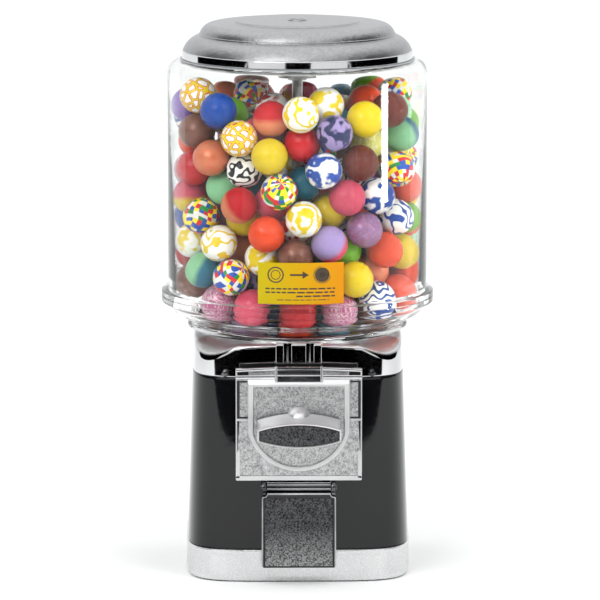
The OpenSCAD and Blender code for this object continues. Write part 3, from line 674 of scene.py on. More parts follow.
def make_collar():
    """The bright collar: square below, round above, with a sloping shoulder in between."""
    count, excess_at = 288, 172.0
    shoulder_top, edge_high, edge_dip, level_excess = 178.0, 176.2, 1.25, 12.6
    columns = []
    for i in range(count):
        a = 2 * math.pi * i / count

        def side(z):
            return squircle_radius(COLLAR_HALF - DRAFT * (z - BODY_TOP), 5.0, a)

        # how far the square stands out past the round rim: the corners are lower and rounder
        excess = side(excess_at) - RIM_R
        edge_z = edge_high - edge_dip * max(0.0, excess - level_excess)
        edge = Vector((side(edge_z), edge_z))
        inward = Vector((RIM_R, shoulder_top)) - edge
        start = edge - Vector((0, 0.9 + 0.18 * excess))
        start.x = side(start.y)
        end = edge + inward * min(0.75, (0.9 + 0.5 * excess) / inward.length)
        profile = (
            [(side(BODY_TOP) - 0.3, BODY_TOP + 0.1), (side(BODY_TOP) - 0.05, BODY_TOP + 0.25),
             (side(BODY_TOP + 0.5), BODY_TOP + 0.5), (side(BODY_TOP + 0.8), BODY_TOP + 0.8),
             (side(start.y - 0.5), start.y - 0.5)]
            + curve_points(start, edge, end, 8)
            + [(RIM_R + 0.2, 178.1), (RIM_R, 178.5), (RIM_R, COLLAR_TOP - 0.4),
               (RIM_R - 0.4, COLLAR_TOP), (76.1, COLLAR_TOP), (76.1, 157.0), (73.8, 157.0),
               (73.8, BODY_TOP + 0.1)]
        )
        columns.append([(r * math.cos(a), r * math.sin(a), z) for r, z in profile])
    rings = [[column[j] for column in columns] for j in range(len(columns[0]))]
    collar = skin("collar_casting", rings, closed=True, smooth_angle=50)

    # the boss on the collar's front: three columns with slots between them
    front = -82.8
    parts = [soften(block("boss", (-16.8, front + 2.4, 163.0), (16.8, -76.2, 178.8)), 0.5, 3)]
    for x0, x1 in ((-16.8, -11.0), (-5.4, 5.4), (11.0, 16.8)):
        outline = [(front, 164.0), (front, 177.2), (front + 1.4, 179.0), (-76.2, 179.0), (-76.2, 164.0)]
        parts.append(soften(bar_x("column", outline, x0, x1), 0.45, 3))
    for x in (-8.2, 8.2):
        # small ribs inside the slots
        rib = block("rib", (x - 0.5, front + 1.2, 164.0), (x + 0.5, -77, 178.4))
        parts.append(soften(rib, 0.35, 2))
    collar = join("collar_casting_bright", [collar] + parts)
    dress(collar, "collar_chrome", "cabinet", "chrome_casting", "top_collar")


# ---------------------------------------------------------------- globe and lid

GLOBE_TOP, GLOBE_WALL, SHOULDER_R, FLANGE_R, NECK_R = 379.6, 1.8, 9.6, 101.6, 80.5


def make_globe():
    """The clear globe with its flange, its rolled shoulder and its stepped foot."""
    shoulder = (GLOBE_R - SHOULDER_R, GLOBE_TOP - SHOULDER_R)
    wall_in = GLOBE_R - GLOBE_WALL
    foot = rounded(
        [(75.8, 183.8), (75.8, 181.5), (78.3, 181.5), (78.3, 180.0), (82.0, 180.0), (82.0, 182.5),
         (79.6, 183.6)],
        [0.4, 0.5, 0.4, 0.4, 0.9, 0.9, 0.8], 3, closed=False,
    )
    bowl = rounded(
        [(81.5, 186.0), (85.2, 187.2), (91.2, 190.2), (94.6, 193.6), (97.9, 197.8)],
        2.0, 3, closed=False,
    )
    flange = rounded(
        [(FLANGE_R, 199.4), (FLANGE_R, 203.2), (FLANGE_R - 0.6, 203.5), (FLANGE_R, 203.8),
         (FLANGE_R, 207.5), (98.2, 207.8), (GLOBE_R, 209.4)],
        [1.4, 0.4, 0.3, 0.4, 1.4, 1.5, 1.0], 4, closed=False,
    )
    inside = rounded(
        [(wall_in, 199.0), (92.6, 195.6), (89.6, 192.6), (84.2, 189.6), (80.6, 188.2),
         (77.6, 185.8)],
        2.0, 3, closed=False,
    )
    outline = (
        foot + bowl + flange
        + arc(shoulder, SHOULDER_R, 0, 90, 14)
        + [(NECK_R + 0.4, GLOBE_TOP), (NECK_R, GLOBE_TOP - 0.4), (NECK_R, GLOBE_TOP - GLOBE_WALL)]
        + arc(shoulder, SHOULDER_R - GLOBE_WALL, 90, 0, 14)
        + inside
    )
    globe = lathe("globe_clear", outline, 224, 40)
    globe.visible_shadow = False
    dress(globe, "clear_globe", "cabinet", "clear_globe", "globe", flat=False)
    light_globe(globe)

    bead = lathe("globe_seal_ring", box_outline(81.0, 87.4, GLOBE_TOP, 380.3, 0.25, 3))
    dress(bead, "grey_seal", "cabinet", "grey_seal", "globe_seal")


LID_LOW, LID_TOP, LID_R, LID_WALL = 380.5, 408.3, 86.0, 2.4


def make_lid():
    """The two-tier cast lid. Its polished band is its own piece, because its finish differs."""
    def dome(inset):
        top = [(57.0, 406.5), (51.5, 406.7), (47.6, 406.9), (46.6, 407.2), (45.8, 408.0),
               (44.8, 408.25), (42.0, LID_TOP), (20.0, LID_TOP)]
        return (
            arc((69, 381), 17 - inset, 17, 74, 14)
            + [(73.2 - inset, 397.7 - inset), (73.0 - inset, 398.7 - inset * 0.6)]
            + arc((63, 396.4), 9.8 - inset, 16, 80, 12)
            + [(r, z - inset) for r, z in top]
        )
    hole = 7.3
    outer = [(LID_R - 0.6, 386.4)] + dome(0) + [(hole + 0.4, LID_TOP), (hole, LID_TOP - 0.4)]
    inner = [(hole, LID_TOP - LID_WALL)] + dome(LID_WALL)[::-1] + [(LID_R - 3.0, 386.4)]
    shell = lathe("lid_dome", outer + inner, 200, 24)
    dress(shell, "lid_metal", "lid", "lid_metal", "lid")

    band = lathe("lid_band", rounded(
        [(LID_R, LID_LOW + 0.1), (LID_R, 386.2), (LID_R - 1.2, 386.7), (LID_R - 3.2, 386.4),
         (LID_R - 3.2, 382.6), (77.4, 382.6), (77.4, 376.2), (79.4, 376.2), (79.4, LID_LOW + 0.1)],
        [0.7, 0.7, 0.5, 0.4, 0.4, 0.4, 0.4, 0.6, 0.4], 4), 200, 40)
    dress(band, "lid_band", "lid", "lid_metal", "lid")

    # lock face: a raised collar, a turned recess and the key slot
    face = lathe("lock_face", rounded(
        [(0.0, 395.0), (7.1, 395.0), (7.1, LID_TOP + 0.1), (6.6, LID_TOP + 0.8),
         (5.6, LID_TOP + 0.8), (5.2, LID_TOP), (0.0, LID_TOP)],
        [0, 0.4, 0.5, 0.5, 0.3, 0.3, 0], 3), 96, 30)
    slot = block("cut", (-0.8, -3.3, LID_TOP - 1.9), (0.8, 3.3, LID_TOP + 1))
    combine(face, [slot], "DIFFERENCE")
    finish_mesh(face, 30)
    spindle = lathe("spindle", [(0.0, 379.4), (1.6, 379.4), (1.6, 395.2), (0.0, 395.2)], 32)
    lock = join("lock_barrel_detail", [face, spindle])
    dress(lock, "lid_metal", "lock", "lid_metal", "lock_barrel")


# ---------------------------------------------------------------- label

def on_globe(x, z, lift):
    """A point on the globe's wall, a little in front of it."""
    r = GLOBE_R + lift
    return (x, -math.sqrt(r * r - x * x), z)


def curved_patch(name, outline_rows, low, high):
    """A thin curved sheet from a grid of (x, z) rows, between two lifts off the globe."""
    rows, cols = len(outline_rows), len(outline_rows[0])
    points = [on_globe(x, z, lift) for lift in (high, low) for row in outline_rows for x, z in row]
    layer = rows * cols

    def grid(base):
        starts = [base + r * cols + c for r in range(rows - 1) for c in range(cols - 1)]
        return [(a, a + 1, a + cols + 1, a + cols) for a in starts]
    edge = (
        [(0, c) for c in range(cols)] + [(r, cols - 1) for r in range(1, rows)]
        + [(rows - 1, c) for c in range(cols - 2, -1, -1)] + [(r, 0) for r in range(rows - 2, 0, -1)]
    )
    index = [r * cols + c for r, c in edge]
    walls = [(a, b, b + layer, a + layer) for a, b in zip(index, index[1:] + index[:1])]
    return solid(name, points, grid(0) + grid(layer) + walls, 50)


def patch_rows(x0, x1, z0, z1, cols, rows):
    return [[(x0 + (x1 - x0) * c / cols, z0 + (z1 - z0) * r / rows) for c in range(cols + 1)]
            for r in range(rows + 1)]


def ring_rows(cx, cz, r_in, r_out, start=0.0, end=360.0, steps=40):
    """Rows of a flat ring or part of one, for a printed mark."""
    angles = [math.radians(start + (end - start) * i / steps) for i in range(steps + 1)]
    return [[(cx + r * math.cos(a), cz + r * math.sin(a)) for a in angles] for r in (r_in, r_out)]


def make_label():
    """A plain sticker: a coin, an arrow and a ball, over rows of blank dashes in place of print."""
    paper_lift, ink_lift = 0.1, 0.36
    x0, x1 = -29.9, 32.8
    paper = curved_patch("label_sheet", patch_rows(x0, x1, 209.9, 240.5, 40, 12), paper_lift, ink_lift)
    label_look(x0 * MM, x1 * MM)
    dress(paper, "label_paper", "cabinet", "label_paper", "price_label")

    middle = 231.6
    marks = [
        ring_rows(-17.0, middle, 5.0, 6.0), ring_rows(-17.0, middle, 3.0, 3.6),  # coin
        patch_rows(-6.5, 3.0, middle - 0.7, middle + 0.7, 12, 1),  # arrow
        [[(2.6, middle - 2.8), (7.2, middle - 0.1)], [(2.6, middle + 2.8), (7.2, middle + 0.1)]],
        ring_rows(17.0, middle, 0.0, 5.4), ring_rows(17.0, middle, 5.9, 6.4, 100, 350),  # ball
    ]
    draw = random.Random(4)
    dashes = [(-24.5, 26.5, 1.15), (-24.5, 26.5, 1.15), (-2.0, 26.5, 1.15), (-16.0, 22.0, 0.6)]
    for row, (start, end, height) in enumerate(dashes):
        z = 221.4 - 2.75 * row
        x = start
        while x < end - 1.0:
            dash = min(draw.uniform(2.2, 6.4), end - x)
            marks.append(patch_rows(x, x + dash, z - height / 2, z + height / 2, 4, 1))
            x += dash + 1.0
    pieces = [curved_patch("mark", rows, ink_lift - 0.02, ink_lift + 0.04) for rows in marks]
    dress(join("label_marks", pieces), "label_ink", "cabinet", "label_paper")


# ---------------------------------------------------------------- coin mechanism

def make_plate():
    """The front plate with its grooves and ears, its horseshoe bezel, its bars and its coin entry."""
    half, low, deep_top = 46.3, 78.3, 156.9
    back = -81.0
    window_floor, disc_floor = -91.75, -89.7
    disc_room, window_half, ring_in, hole = 32.7, 32.8, 34.8, 29.6

    def lower_arc(radius, limit, steps=64):
        return [(max(-limit, min(limit, x)), z) for x, z in arc((0, SHAFT_Z), radius, 0, -180, steps)]

    plate = slab("plate_speckled", box_outline(-half, half, low, deep_top, 1.3), PLATE_FRONT, back)
    window = (
        [(-window_half, 146.4)]
        + arc((-31.2, 146.4), 1.6, 180, 90, 4) + arc((31.2, 146.4), 1.6, 90, 0, 4)
        + lower_arc(ring_in, window_half)
    )
    cuts = [
        slab("cut", window, PLATE_FRONT - 1, window_floor),
        slab("cut", arc((0, SHAFT_Z), disc_room, 0, 354, 118), PLATE_FRONT - 1, disc_floor),
        slab("cut", arc((0, SHAFT_Z), hole, 0, 354, 59), -89.9, back + 1),
    ]
    # black fills in the grooves, and further down in the coin entry and behind the bars, are painted
    # shade
    painted_shade_fills = []
    deep, fill = 1.4, 0.7

    def groove(outline, depth=deep):
        cuts.append(slab("cut", outline, PLATE_FRONT - 1, PLATE_FRONT + depth))
        painted_shade_fills.append(slab("painted_shade_fill", outline, PLATE_FRONT + fill, PLATE_FRONT + depth + 0.2))

    for s in (-1, 1):
        end, outer, inner = s * 37.9, s * 45.4, s * 43.4
        bracket = [(end, 152.6), (outer, 152.6), (outer, 124.5), (end, 124.5),
                   (end, 125.9), (inner, 125.9), (inner, 151.3), (end, 151.3)]
        groove(bracket if s > 0 else bracket[::-1])
        taper = [(s * 45.3, 122.6), (s * 45.1, 101.0), (s * 44.8, 101.0), (s * 43.6, 122.6)]
        groove(taper[::-1] if s > 0 else taper)
        edge = box_outline(*span(s, 43.0, 43.25), 82.2, 101)
        cuts.append(slab("cut", edge, PLATE_FRONT - 1, PLATE_FRONT + 0.25))
    edge = box_outline(-43.2, 43.2, 81.9, 82.4)
    cuts.append(slab("cut", edge, PLATE_FRONT - 1, PLATE_FRONT + 0.5))
    combine(plate, cuts, "DIFFERENCE")
    soften(finish_mesh(plate), 0.3, 2)
    dress(plate, "speckled_chrome", "cabinet", "speckled_chrome", "mech_plate")

    def trim(name, parts, look, slot):
        dress(join(name, parts), look, "cabinet", slot, "mech_plate")

    # horseshoe bezel: straight cheeks that run into a round lower ring, with a wide sloping head
    def horseshoe(half_w, radius, top, y):
        return [(x, y, z) for x, z in [(half_w, top), *lower_arc(radius, half_w), (-half_w, top)]]
    front = PLATE_FRONT - 2.6
    bezel = skin("bezel", [
        horseshoe(37.8, 38.9, 154.0, PLATE_FRONT + 0.2),
        horseshoe(37.7, 38.8, 153.8, PLATE_FRONT - 0.9),
        horseshoe(36.9, 38.1, 149.9, front),
        horseshoe(33.5, 35.3, 148.7, front + 0.1),
        horseshoe(32.8, 34.8, 148.0, window_floor + 0.1),
    ], closed=True, smooth_angle=25)
    soften(bezel, 0.45, 3, 18)

    # the smooth border of the lower plate, and the rims outside the ears
    side, sunk = half - 0.02, PLATE_FRONT + 0.3
    foot = box_outline(-half + 0.02, side, low + 0.02, 81.8, 1.2)
    border = [slab("border", foot, PLATE_FRONT - 0.3, sunk)]
    for s in (-1, 1):
        for near, proud, z0, z1 in ((43.35, 0.3, 80.0, 100.4), (45.45, 0.35, 100.0, 154.0),
                                    (37.6, 0.3, 123.0, 124.2)):
            x0, x1 = span(s, near, side)
            border.append(block("border", (x0, PLATE_FRONT - proud, z0), (x1, sunk, z1)))
    for part in border:
        soften(part, 0.22, 2)
    trim("plate_bezel", [bezel] + border, "plate_satin", "chrome_casting")

    # two bars over the bezel, the upper one slightly arched, with a step between them
    def bar(z0, z1, y0, y1, ends, rise, corner):
        outline = rounded([(y0, z0), (y0, z1), (y1, z1), (y1, z0)], [corner, corner, 0.3, 0.3], 5)
        rings = []
        for k in range(25):
            x = ends * (k / 12 - 1)
            rings.append([(x, y, z + rise * (1 - (x / ends) ** 2)) for y, z in outline])
        return skin("bar", rings)
    parts = [bar(159.0, 161.4, -93.6, -89.3, half, 1.5, 1.1),
             bar(153.5, 157.0, -93.5, -89.3, half, 0.2, 1.5),
             bar(156.4, 159.6, -91.9, -89.3, 36.8, 0.9, 0.4)]
    for s in (-1, 1):
        x0, x1 = span(s, 15.7, 17.7)
        parts.append(block("cheek", (x0, -94.6, 151.8), (x1, -88.9, 163.5)))
        x0, x1 = span(s, 45.0, half)
        parts.append(block("end_post", (x0, -93.2, 154.0), (x1, -89.2, 161.2)))
    for part in parts:
        soften(part, 0.65, 4)
    trim("plate_bars", parts, "trim_chrome", "chrome_casting")

    # coin entry between the cheeks: a guide, a slot filled with painted shade and a lip with a thumb
    # notch
    guide = soften(block("guide", (-15.8, -92.9, 156.6), (15.8, -89.4, 159.6)), 0.6, 3)
    ledge = soften(block("ledge", (-15.8, -93.9, 161.0), (15.8, -89.4, 162.6)), 0.5, 3)
    lip = block("lip", (-15.8, -94.3, 152.2), (15.8, -91.6, 156.3))
    turns = [math.radians(a) for a in range(0, 181, 12)]
    arch = [(5.0 * math.cos(t), 153.9 + 1.9 * math.sin(t)) for t in turns]
    combine(lip, [slab("cut", arch, -97, -92.8)], "DIFFERENCE")
    soften(finish_mesh(lip), 0.4, 3)
    trim("coin_entry", [guide, ledge, lip], "dark_trim", "dark_chrome")
    # painted shade: black fills in the thumb notch, in the coin slot and behind the bars
    painted_shade_fills.append(slab("painted_shade_fill", [(x * 0.96, z) for x, z in arch], -93.8, -92.0))
    painted_shade_fills.append(block("painted_shade_fill", (-15.6, -92.3, 159.4), (15.6, -89.4, 161.2)))
    painted_shade_fills.append(block("painted_shade_fill", (0.3 - half, -89.4, 153.0), (half - 0.3, -88.9, 161.6)))
    trim("plate_recesses", painted_shade_fills, "recess_black", "dark_chrome")


def lens_outline(half_w, half_h, z, steps=14):
    """The handle's lens outline: two shallow arcs between short straight ends."""
    bow = 97.0  # radius of each arc
    top = []
    for i in range(-steps, steps + 1):
        x = half_w * i / steps
        top.append((x, half_h - bow + math.sqrt(bow * bow - x * x)))
    outline = top + [(x, -h) for x, h in reversed(top)]
    return [(x, z + h) for x, h in outline]


def make_handle():
    """The turning handle: a waisted grip with a flared nose, its hub and the disc behind it."""
    root_z, nose_z = SHAFT_Z - 6.2, SHAFT_Z - 7.1
    stations = [
        (-94.9, 29.6, 11.0, root_z), (-95.2, 30.2, 11.3, root_z), (-96.0, 30.6, 11.3, root_z),
        (-98.5, 30.4, 11.0, root_z - 0.1), (-102.0, 29.4, 10.5, root_z - 0.2),
        (-108.0, 28.4, 9.6, root_z - 0.5), (-114.0, 28.2, 8.9, nose_z + 0.1),
        (-117.0, 28.6, 8.7, nose_z), (-118.4, 29.6, 9.0, nose_z), (-119.4, 30.5, 9.25, nose_z),
        (-121.3, 30.6, 9.3, nose_z), (-122.0, 30.2, 8.9, nose_z), (-121.95, 29.6, 8.3, nose_z),
        (-120.9, 29.3, 8.0, nose_z),
    ]
    rings = [[(x, y, z) for x, z in lens_outline(w, h, zc)] for y, w, h, zc in stations]
    grip = skin("grip_body", rings, smooth_angle=40)
    hub = lathe("hub", rounded(
        [(0.0, -90.5), (9.3, -90.5), (9.3, -95.0), (8.4, -100.5), (5.5, -105.0), (0.0, -106.0)],
        [0, 0.3, 2.5, 4.0, 3.0, 0], 5), 64, 40, axis="Y", centre=(0, SHAFT_Z))
    grip = join("handle_grip_bright", [grip, hub])
    dress(grip, "grip_chrome", "handle", "dark_chrome", "handle_grip")

    # the sunk face of the nose, with the step that frames it
    back = slab("handle_face_recess", lens_outline(29.2, 7.9, nose_z), -121.05, -120.6)
    dress(back, "recess_black", "handle", "dark_chrome", "handle_grip")
    step = soften(slab("handle_face", lens_outline(28.3, 7.1, nose_z), -121.5, -120.9), 0.3, 2)
    dress(step, "grip_speckle", "handle", "dark_chrome", "handle_grip")

    disc = lathe("handle_disc_speckled", rounded(
        [(4.0, -91.6), (4.0, -90.1), (32.62, -90.1), (32.62, -91.75), (9.0, -91.75), (4.0, -91.75)],
        [0, 0, 0.1, 0.04, 0, 0], 2), 128, 30, axis="Y", centre=(0, SHAFT_Z))
    dress(disc, "speckled_chrome", "handle", "speckled_chrome", "handle_disc")


# ---------------------------------------------------------------- flap and chute

def make_flap():
    """The dispensing flap: a bright rim, a dark groove and a peppered field, on a ridged barrel."""
    half, low, top, neck = 27.4, 14.2, 66.6, 23.3
    front, back = -95.0, -92.4
    outline = rounded(
        [(-half, low), (half, low), (half - 0.2, top), (24.6, top), (neck, 68.2), (neck, 69.4),
         (-neck, 69.4), (-neck, 68.2), (-24.6, top), (0.2 - half, top)],
        [0.8, 0.8, 1.9, 0.5, 0.5, 0.2, 0.2, 0.5, 0.5, 1.9], 5,
    )
    leaf = slab("leaf", outline, front, back)
    channel = rounded(
        [(-26.3, low - 1), (26.3, low - 1), (26.2, 65.7), (24.0, 65.9), (22.7, 68.0), (-22.7, 68.0),
         (-24.0, 65.9), (-26.2, 65.7)],
        [0.1, 0.1, 1.2, 0.5, 0.5, 0.5, 0.5, 1.2], 4,
    )
    combine(leaf, [slab("cut", channel, front - 1, front + 1.3)], "DIFFERENCE")
    soften(finish_mesh(leaf), 0.3, 3)

    # barrel along the hinge in the dark trim, as painted shade between three ridges in the brighter
    # flap chrome
    barrel_r = 3.6
    turns = [2 * math.pi * i / 48 for i in range(48)]
    outline = [(HINGE[0] + barrel_r * math.cos(t), HINGE[1] + barrel_r * math.sin(t)) for t in turns]
    barrel = bar_x("flap_barrel", outline, -23.5, 23.5)
    soften(barrel, 0.5, 3, 60)
    dress(barrel, "dark_trim", "flap", "dark_chrome", "chute_flap")
    ridges = []
    for turn in (58.0, 34.0, -6.0):
        t = math.radians(turn)
        along, across = Vector((-math.cos(t), math.sin(t))), Vector((math.sin(t), math.cos(t))) * 0.55
        near, far = Vector(HINGE) + along * 3.2, Vector(HINGE) + along * 4.7
        outline = [near - across, far - across, far + across, near + across]
        ridges.append(soften(bar_x("ridge", outline, -23.4, 23.4), 0.4, 4))
    dress(join("flap_rim", [leaf] + ridges), "flap_chrome", "flap", "dark_chrome", "chute_flap")

    # the channel's floor is a black slab: painted shade in the groove
    outline = rounded([(x * 0.998, z) for x, z in channel], 0.01, 1)
    floor = slab("flap_floor", outline, front + 1.15, front + 1.5)
    dress(floor, "recess_black", "flap", "dark_chrome", "chute_flap")

    # the field bulges forward a little towards its lower edge
    field_half, field_low, field_top, deep = 24.8, low + 0.35, 65.2, front + 1.5
    rings = []
    rows = 10
    for k in range(rows + 1):
        t = k / rows
        z = field_low + (field_top - field_low) * t
        y = front + 0.1 + 0.55 * t ** 1.5
        rings.append([(-field_half, y, z), (field_half, y, z), (field_half, deep, z),
                      (-field_half, deep, z)])
    field = soften(skin("flap_field", rings), 0.35, 3)
    dress(field, "flap_speckle_painted_light", "flap", "dark_chrome", "chute_flap")


# ---------------------------------------------------------------- balls

RED, ORANGE, CORAL = (0.62, 0.012, 0.02), (1.0, 0.08, 0.012), (1.0, 0.12, 0.06)
YELLOW, LEMON, WHITE = (0.97, 0.71, 0.008), (0.72, 0.70, 0.10), (0.74, 0.74, 0.70)
GREEN, LIME, MINT = (0.008, 0.25, 0.03), (0.22, 0.60, 0.03), (0.30, 0.68, 0.36)
TEAL, BLUE, NAVY = (0.008, 0.17, 0.27), (0.012, 0.08, 0.42), (0.012, 0.02, 0.10)
PINK, ROSE, MAUVE = (0.80, 0.09, 0.16), (0.55, 0.13, 0.28), (0.34, 0.15, 0.28)
PURPLE, LILAC, BROWN = (0.28, 0.14, 0.58), (0.42, 0.32, 0.62), (0.17, 0.03, 0.018)
BRONZE, PEACH, BLACK = (0.30, 0.13, 0.09), (0.82, 0.27, 0.13), (0.012, 0.012, 0.016)

# family, first colour, second colour, how often
BALL_KINDS = [
    ("plain", ORANGE, ORANGE, 7), ("plain", CORAL, CORAL, 4), ("plain", RED, RED, 3),
    ("plain", YELLOW, YELLOW, 6), ("plain", GREEN, GREEN, 2), ("plain", LIME, LIME, 2),
    ("plain", TEAL, TEAL, 4), ("plain", BLUE, BLUE, 2), ("plain", PURPLE, PURPLE, 2),
    ("plain", BROWN, BROWN, 4), ("plain", PINK, PINK, 4),
    ("pearl", ROSE, WHITE, 3), ("pearl", MAUVE, LILAC, 2), ("pearl", BRONZE, BROWN, 2),
    ("pearl", MINT, WHITE, 2), ("pearl", LEMON, WHITE, 1), ("pearl", PEACH, CORAL, 2),
    ("halves", CORAL, LIME, 1), ("halves", TEAL, MINT, 2), ("halves", PINK, LILAC, 2),
    ("halves", PEACH, RED, 2), ("halves", YELLOW, PINK, 2),
    ("swirl", YELLOW, WHITE, 3), ("swirl", BLUE, WHITE, 2), ("swirl", RED, WHITE, 2),
    ("swirl", NAVY, LILAC, 1),
    ("patches", RED, WHITE, 7),
    ("stripes", BLUE, WHITE, 2), ("stripes", BLACK, WHITE, 2), ("stripes", YELLOW, WHITE, 1),
    ("cells", YELLOW, WHITE, 3),
]


def ball_looks():
    """One material for each family. A ball's two colours and its turn are stored on its mesh."""
    coated = {"Coat_Weight": 0.3, "Coat_Roughness": 0.08}

    def base(name, rough, **sockets):
        look = Look("ball_" + name, (0.8, 0.3, 0.2), rough, **sockets)
        turn = look.stored("ball_turn")
        look.axes = look.parts(turn)
        look.seed = look.stored("ball_seed")
        look.turn = look.vector_math("ADD", turn, look.seed)
        look.first = look.stored("tone_a", "Color")
        look.second = look.stored("tone_b", "Color")
        look.set("Specular IOR Level", 0.15)
        seam = look.math("LESS_THAN", look.math("ABSOLUTE", look.axes["Y"]), 0.018)
        look.bump(seam, 0.12, 0.6)
        look.bump(look.noise(9, 3, look.turn), 0.05)
        return look

    def speck(look, colour, amount):
        """Small darker flecks, as in poured rubber."""
        fleck = look.remap(look.noise(7, 4, look.turn), 0.3, 0.7, 1 - amount, 1.0)
        return look.mix(1.0, colour, look.mix(fleck, (0.0, 0.0, 0.0), (1.0, 1.0, 1.0)), "MULTIPLY")

    plain = base("plain", 0.3, **coated)
    plain.paint(speck(plain, plain.first, 0.12))
    plain.rough_from(plain.noise(2, 2, plain.turn), 0.2, 0.5)

    pearl = base("pearl", 0.32, metal=0.2, Coat_Weight=0.3, Coat_Roughness=0.12)
    cloud = pearl.noise(1.5, 4, pearl.turn, distortion=3.2)
    veins = pearl.math("ABSOLUTE", pearl.math("SUBTRACT", cloud, 0.5))
    pearl.colour_from(pearl.remap(veins, 0.0, 0.06, 0.6, 0), pearl.first, pearl.second)

    halves = base("halves", 0.5)
    ragged = halves.add(halves.axes["Z"], halves.noise(2, 2, halves.turn), 0.2)
    both = halves.mix(halves.remap(ragged, -0.05, 0.25, 0, 1), halves.first, halves.second)
    halves.paint(speck(halves, both, 0.1))

    swirl = base("swirl", 0.28, **coated)
    flow = swirl.add(swirl.axes["X"], swirl.noise(0.9, 2, swirl.turn), 4.2)
    wave = swirl.math("SINE", swirl.math("MULTIPLY", flow, 5.5))
    swirl.colour_from(swirl.remap(wave, -0.5, 0.45, 0, 1), swirl.first, swirl.second)

    # patches lie on a wavering grid of columns and rows, each with a colour of its own
    patches = base("patches", 0.3, **coated)
    axes, calc = patches.axes, patches.math
    waver = calc("MULTIPLY", calc("SUBTRACT", patches.noise(1.2, 0, patches.turn), 0.5), 0.45)
    around = calc("ADD", calc("ARCTAN2", axes["Y"], axes["X"]), waver)
    rise = calc("ADD", calc("ARCSINE", axes["Z"]), waver)
    cell = patches.node("ShaderNodeCombineXYZ")
    for angle, per_radian, socket in ((around, 3.1, cell.inputs[0]), (rise, 4.3, cell.inputs[1])):
        patches.wire(calc("FLOOR", calc("MULTIPLY", angle, per_radian)), socket)
    whole = patches.vector_math("FLOOR", patches.seed)
    place = patches.vector_math("ADD", cell.outputs[0], whole)
    chance = patches.node("ShaderNodeTexWhiteNoise", noise_dimensions="3D")
    patches.wire(place, chance.inputs["Vector"])
    ramp = patches.node("ShaderNodeValToRGB")
    ramp.color_ramp.interpolation = "CONSTANT"
    shades = (RED, WHITE, YELLOW, RED, GREEN, BLUE, YELLOW, WHITE, BLUE)
    stops = ramp.color_ramp.elements
    while len(stops) < len(shades):
        stops.new(0.5)
    for i, shade in enumerate(shades):
        stops[i].position = i / len(shades)
        stops[i].color = (*shade, 1)
    patches.wire(chance.outputs["Value"], ramp.inputs[0])
    patches.paint(ramp.outputs[0])

    stripes = base("stripes", 0.3, **coated)
    height = stripes.math("MULTIPLY", stripes.axes["Z"], 11.0)
    band = stripes.math("SINE", stripes.add(height, stripes.noise(1.3, 1, stripes.turn), 22.0))
    stripes.colour_from(stripes.remap(band, -0.5, -0.2, 0, 1), stripes.first, stripes.second)

    cells = base("cells", 0.3, **coated)
    web = cells.node("ShaderNodeTexVoronoi", feature="DISTANCE_TO_EDGE")
    web.inputs["Scale"].default_value = 2.3
    cells.wire(cells.turn, web.inputs["Vector"])
    from_edge = web.outputs["Distance"]
    spot = cells.mix(cells.remap(from_edge, 0.12, 0.15, 0, 1), cells.first, cells.second)
    off_line = cells.math("ABSOLUTE", cells.math("SUBTRACT", from_edge, 0.13))
    cells.colour_from(cells.math("LESS_THAN", off_line, 0.03), spot, RED)


def ball_centres():
    """Middle and radius of each ball, read from the separate spheres of the CAD node."""
    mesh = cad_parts["bouncy_balls"].data
    bm = bmesh.new()
    bm.from_mesh(mesh)
    bmesh.ops.remove_doubles(bm, verts=bm.verts, dist=1e-6)
    seen, found = set(), []
    for start in bm.verts:
        if start.index in seen:
            continue
        seen.add(start.index)
        island, queue = [], [start]
        while queue:
            vert = queue.pop()
            island.append(vert.co)
            for edge in vert.link_edges:
                other = edge.other_vert(vert)
                if other.index not in seen:
                    seen.add(other.index)
                    queue.append(other)
        co = np.array(island)
        found.append((Vector((co.min(0) + co.max(0)) / 2), float(np.ptp(co[:, 2]) / 2)))
    bm.free()
    return sorted(found, key=lambda ball: [round(ball[0][i], 5) for i in (2, 0, 1)])


def unit_ball(cuts):
    """A sphere of even square patches, made from a cube: its directions and faces."""
    bm = bmesh.new()
    bmesh.ops.create_cube(bm, size=2.0)
    bmesh.ops.subdivide_edges(bm, edges=bm.edges, cuts=cuts, use_grid_fill=True)
    points = []
    for vert in bm.verts:
        points.append([math.tan(c * math.pi / 4) for c in vert.co])
    bm.verts.index_update()
    faces = np.array([[v.index for v in face.verts] for face in bm.faces])
    bm.free()
    points = np.array(points)
    return points / np.linalg.norm(points, axis=1)[:, None], faces


def choose_kind(draw, place, chosen):
    """A seeded choice that keeps the same kind from lying next to itself."""
    near = 0.042  # metres, about one and a half balls
    weights = [kind[3] for kind in BALL_KINDS]
    for _ in range(12):
        pick = draw.choices(range(len(BALL_KINDS)), weights)[0]
        if all(other != pick or (where - place).length > near for where, other in chosen):
            break
    return pick


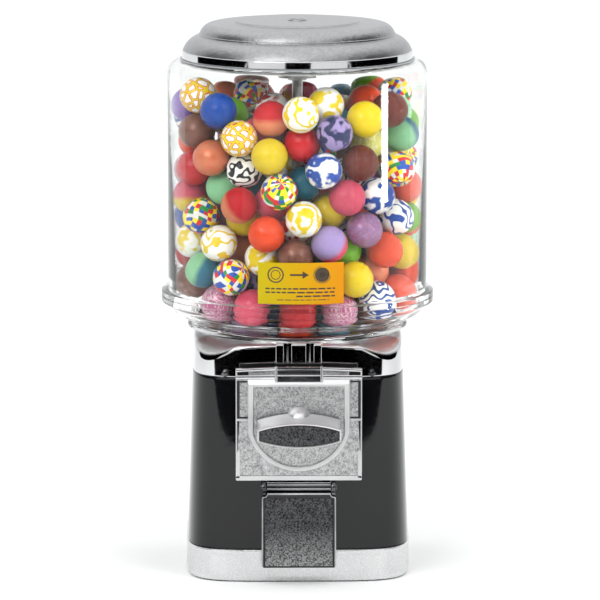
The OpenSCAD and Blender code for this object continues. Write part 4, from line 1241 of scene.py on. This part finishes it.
def make_balls():
    """The balls, one mesh for each family. Those that no view can show have fewer faces."""
    ball_looks()
    fine, coarse = unit_ball(13), unit_ball(7)
    hidden_reach, hidden_top, gap = 0.05, 0.335, 0.00005
    draw = random.Random(20)
    names = ("faces", "points", "ball_turn", "ball_seed", "tone_a", "tone_b")
    batches = {kind[0]: {name: [] for name in names} for kind in BALL_KINDS}
    chosen = []
    for place, radius in ball_centres():
        pick = choose_kind(draw, place, chosen)
        chosen.append((place, pick))
        family, first, second, _ = BALL_KINDS[pick]
        angle = draw.uniform(0, 6.28)
        axis = Vector([draw.gauss(0, 1) for _ in range(3)]).normalized()
        turn = np.array(Matrix.Rotation(angle, 3, axis))
        shade = draw.uniform(0.64, 0.82)
        tones = [[min(c * (1.15 if tone is WHITE else shade), 1) for c in tone] + [1]
                 for tone in (first, second)]
        seed = [draw.uniform(-40, 40) for _ in range(3)]
        visible = math.hypot(place.x, place.y) > hidden_reach or place.z > hidden_top
        directions, faces = fine if visible else coarse
        batch = batches[family]
        batch["faces"].append(faces + sum(len(points) for points in batch["points"]))
        batch["points"].append(directions * (radius - gap) + np.array(place))
        batch["ball_turn"].append(directions @ turn)
        for name, value in (("ball_seed", seed), ("tone_a", tones[0]), ("tone_b", tones[1])):
            batch[name].append(np.tile(value, (len(directions), 1)))
    for family, batch in batches.items():
        if not batch["points"]:
            continue
        batch = {name: np.concatenate(values) for name, values in batch.items()}
        mesh = bpy.data.meshes.new("balls_" + family)
        mesh.from_pydata(batch.pop("points").tolist(), [], batch.pop("faces").tolist())
        for name, values in batch.items():
            kind, field = ("FLOAT_COLOR", "color") if "tone" in name else ("FLOAT_VECTOR", "vector")
            layer = mesh.attributes.new(name, kind, "POINT")
            layer.data.foreach_set(field, values.astype(np.float32).ravel())
        mesh.shade_smooth()
        obj = bpy.data.objects.new("balls_" + family, mesh)
        place_in_scene(obj)
        dress(obj, "ball_" + family, "cabinet", "ball_rubber", "bouncy_balls", flat=False)


# ---------------------------------------------------------------- carried-over CAD nodes

CAD_FINISH = {
    "zinc_steel": "base_plate centre_rod rod_nuts rod_keeper lock_cam mech_screws handle_shaft"
                  " ratchet_wheel shaft_clip pawl pawl_pin pawl_spring coin_deflector cash_tray"
                  " brush_housing",
    "dark_trim": "collar_screws chute_frame hinge_pin",
    "cast_zinc": "mech_housing",
    "brass": "coin_carrier drive_pinion",
    "moulded_plastic": "wheel_tray ball_wheel wheel_gear ball_chute",
    "rubber_pad": "rubber_feet",
    "bristle": "brush_strips",
}


def finish_cad_nodes():
    """Soft edges and a proper finish for the nodes whose CAD shape stays."""
    for finish, names in CAD_FINISH.items():
        for name in names.split():
            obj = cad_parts[name]
            set_look(obj, finish)
            if name not in ("pawl_spring", "rubber_feet", "collar_screws"):
                soften(obj, 0.25, 2)


make_materials()
make_camera()
make_stage()
make_base()
make_body()
make_collar()
make_globe()
make_lid()
make_label()
make_plate()
make_handle()
make_flap()
make_balls()
finish_cad_nodes()
